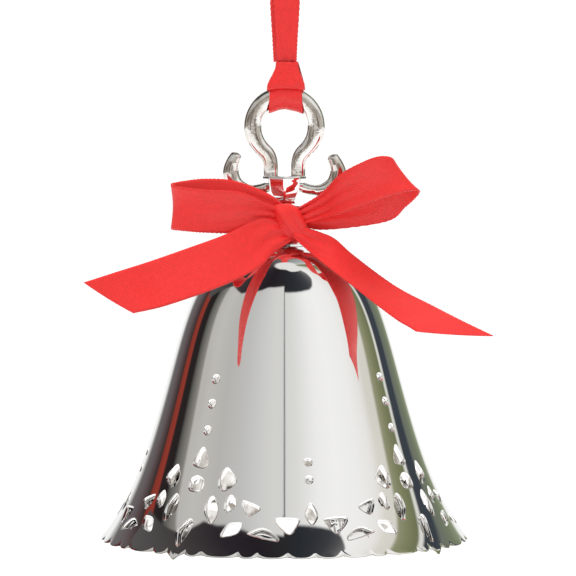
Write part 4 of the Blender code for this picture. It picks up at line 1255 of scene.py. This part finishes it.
class ORNAMENT_OT_stage(bpy.types.Operator):
    """Set the camera, the pale floor and the soft studio light"""
    bl_idname = "ornament.stage"
    bl_label = "Stage"

    def execute(self, context):
        stage = context.scene.ornament_stage
        context.scene.view_settings.view_transform = "Standard"
        data = bpy.data.cameras.new("Camera")
        data.lens = stage.camera_lens
        data.sensor_width = 36.0
        data.clip_end = 50.0
        camera = bpy.data.objects.new("Camera", data)
        camera.location = (stage.camera_side, -stage.camera_distance,
                           stage.camera_height + RIM_LEVEL)
        camera.rotation_euler = (math.pi / 2 - stage.camera_pitch, 0.0, 0.0)
        context.scene.collection.objects.link(camera)
        context.scene.camera = camera
        surroundings()

        bm = bmesh.new()
        bmesh.ops.create_circle(bm, cap_ends=True, segments=96, radius=8.0)
        bmesh.ops.translate(bm, verts=bm.verts, vec=(0.0, 0.0, RIM_LEVEL - stage.floor_drop))
        mesh = bpy.data.meshes.new("floor")
        bm.to_mesh(mesh)
        bm.free()
        floor = bpy.data.objects.new("floor", mesh)
        context.scene.collection.objects.link(floor)
        material, _, shader = new_material("Pale Floor")
        shader.inputs["Base Color"].default_value = (0.9, 0.9, 0.9, 1.0)
        shader.inputs["Roughness"].default_value = 0.9
        mesh.materials.append(material)

        # Area lamps: name, watts, size and place.
        for name, energy, size, place in (("key", 5.7, 0.7, (-0.9, -1.3, 0.9)),
                                          ("fill", 1.6, 1.2, (1.2, -1.0, 0.5))):
            light = bpy.data.lights.new(name, "AREA")
            light.energy = energy
            light.size = size
            lamp = bpy.data.objects.new(name, light)
            lamp.location = place
            lamp.rotation_euler = (LIT_SPOT - Vector(place)).to_track_quat("-Z", "Y").to_euler()
            lamp.visible_glossy = False
            context.scene.collection.objects.link(lamp)
        sun = bpy.data.lights.new("top", "SUN")
        sun.energy = 2.7
        sun.angle = math.radians(60.0)
        lamp = bpy.data.objects.new("top", sun)
        lamp.visible_glossy = False
        context.scene.collection.objects.link(lamp)
        return {"FINISHED"}


# ================================================================ the panel
class ORNAMENT_PT_build(bpy.types.Panel):
    """Buttons that build the ornament"""
    bl_idname = "ORNAMENT_PT_build"
    bl_label = "Bell Ornament"
    bl_space_type = "VIEW_3D"
    bl_region_type = "UI"
    bl_category = "Ornament"

    def draw(self, context):
        layout = self.layout
        for operator in OPERATORS:
            layout.operator(operator.bl_idname)
        for group in (context.scene.ornament_bell, context.scene.ornament_ribbon,
                      context.scene.ornament_stage):
            box = layout.box()
            for name in group.__annotations__:
                box.prop(group, name)


OPERATORS = (ORNAMENT_OT_stage, ORNAMENT_OT_hanger, ORNAMENT_OT_bell, ORNAMENT_OT_crown,
             ORNAMENT_OT_hardware, ORNAMENT_OT_bow)
GROUPS = (("ornament_bell", BellSettings), ("ornament_ribbon", RibbonSettings),
          ("ornament_stage", StageSettings))


def register():
    for name, group in GROUPS:
        bpy.utils.register_class(group)
        setattr(bpy.types.Scene, name, PointerProperty(type=group))
    for operator in OPERATORS:
        bpy.utils.register_class(operator)
    bpy.utils.register_class(ORNAMENT_PT_build)


def unregister():
    bpy.utils.unregister_class(ORNAMENT_PT_build)
    for operator in reversed(OPERATORS):
        bpy.utils.unregister_class(operator)
    for name, group in reversed(GROUPS):
        delattr(bpy.types.Scene, name)
        bpy.utils.unregister_class(group)


def main():
    register()
    bpy.ops.ornament.stage()
    bpy.ops.ornament.hanger()
    bpy.ops.ornament.bell()
    bpy.ops.ornament.crown()
    bpy.ops.ornament.hardware()
    bpy.ops.ornament.bow()


if __name__ == "__main__":
    main()
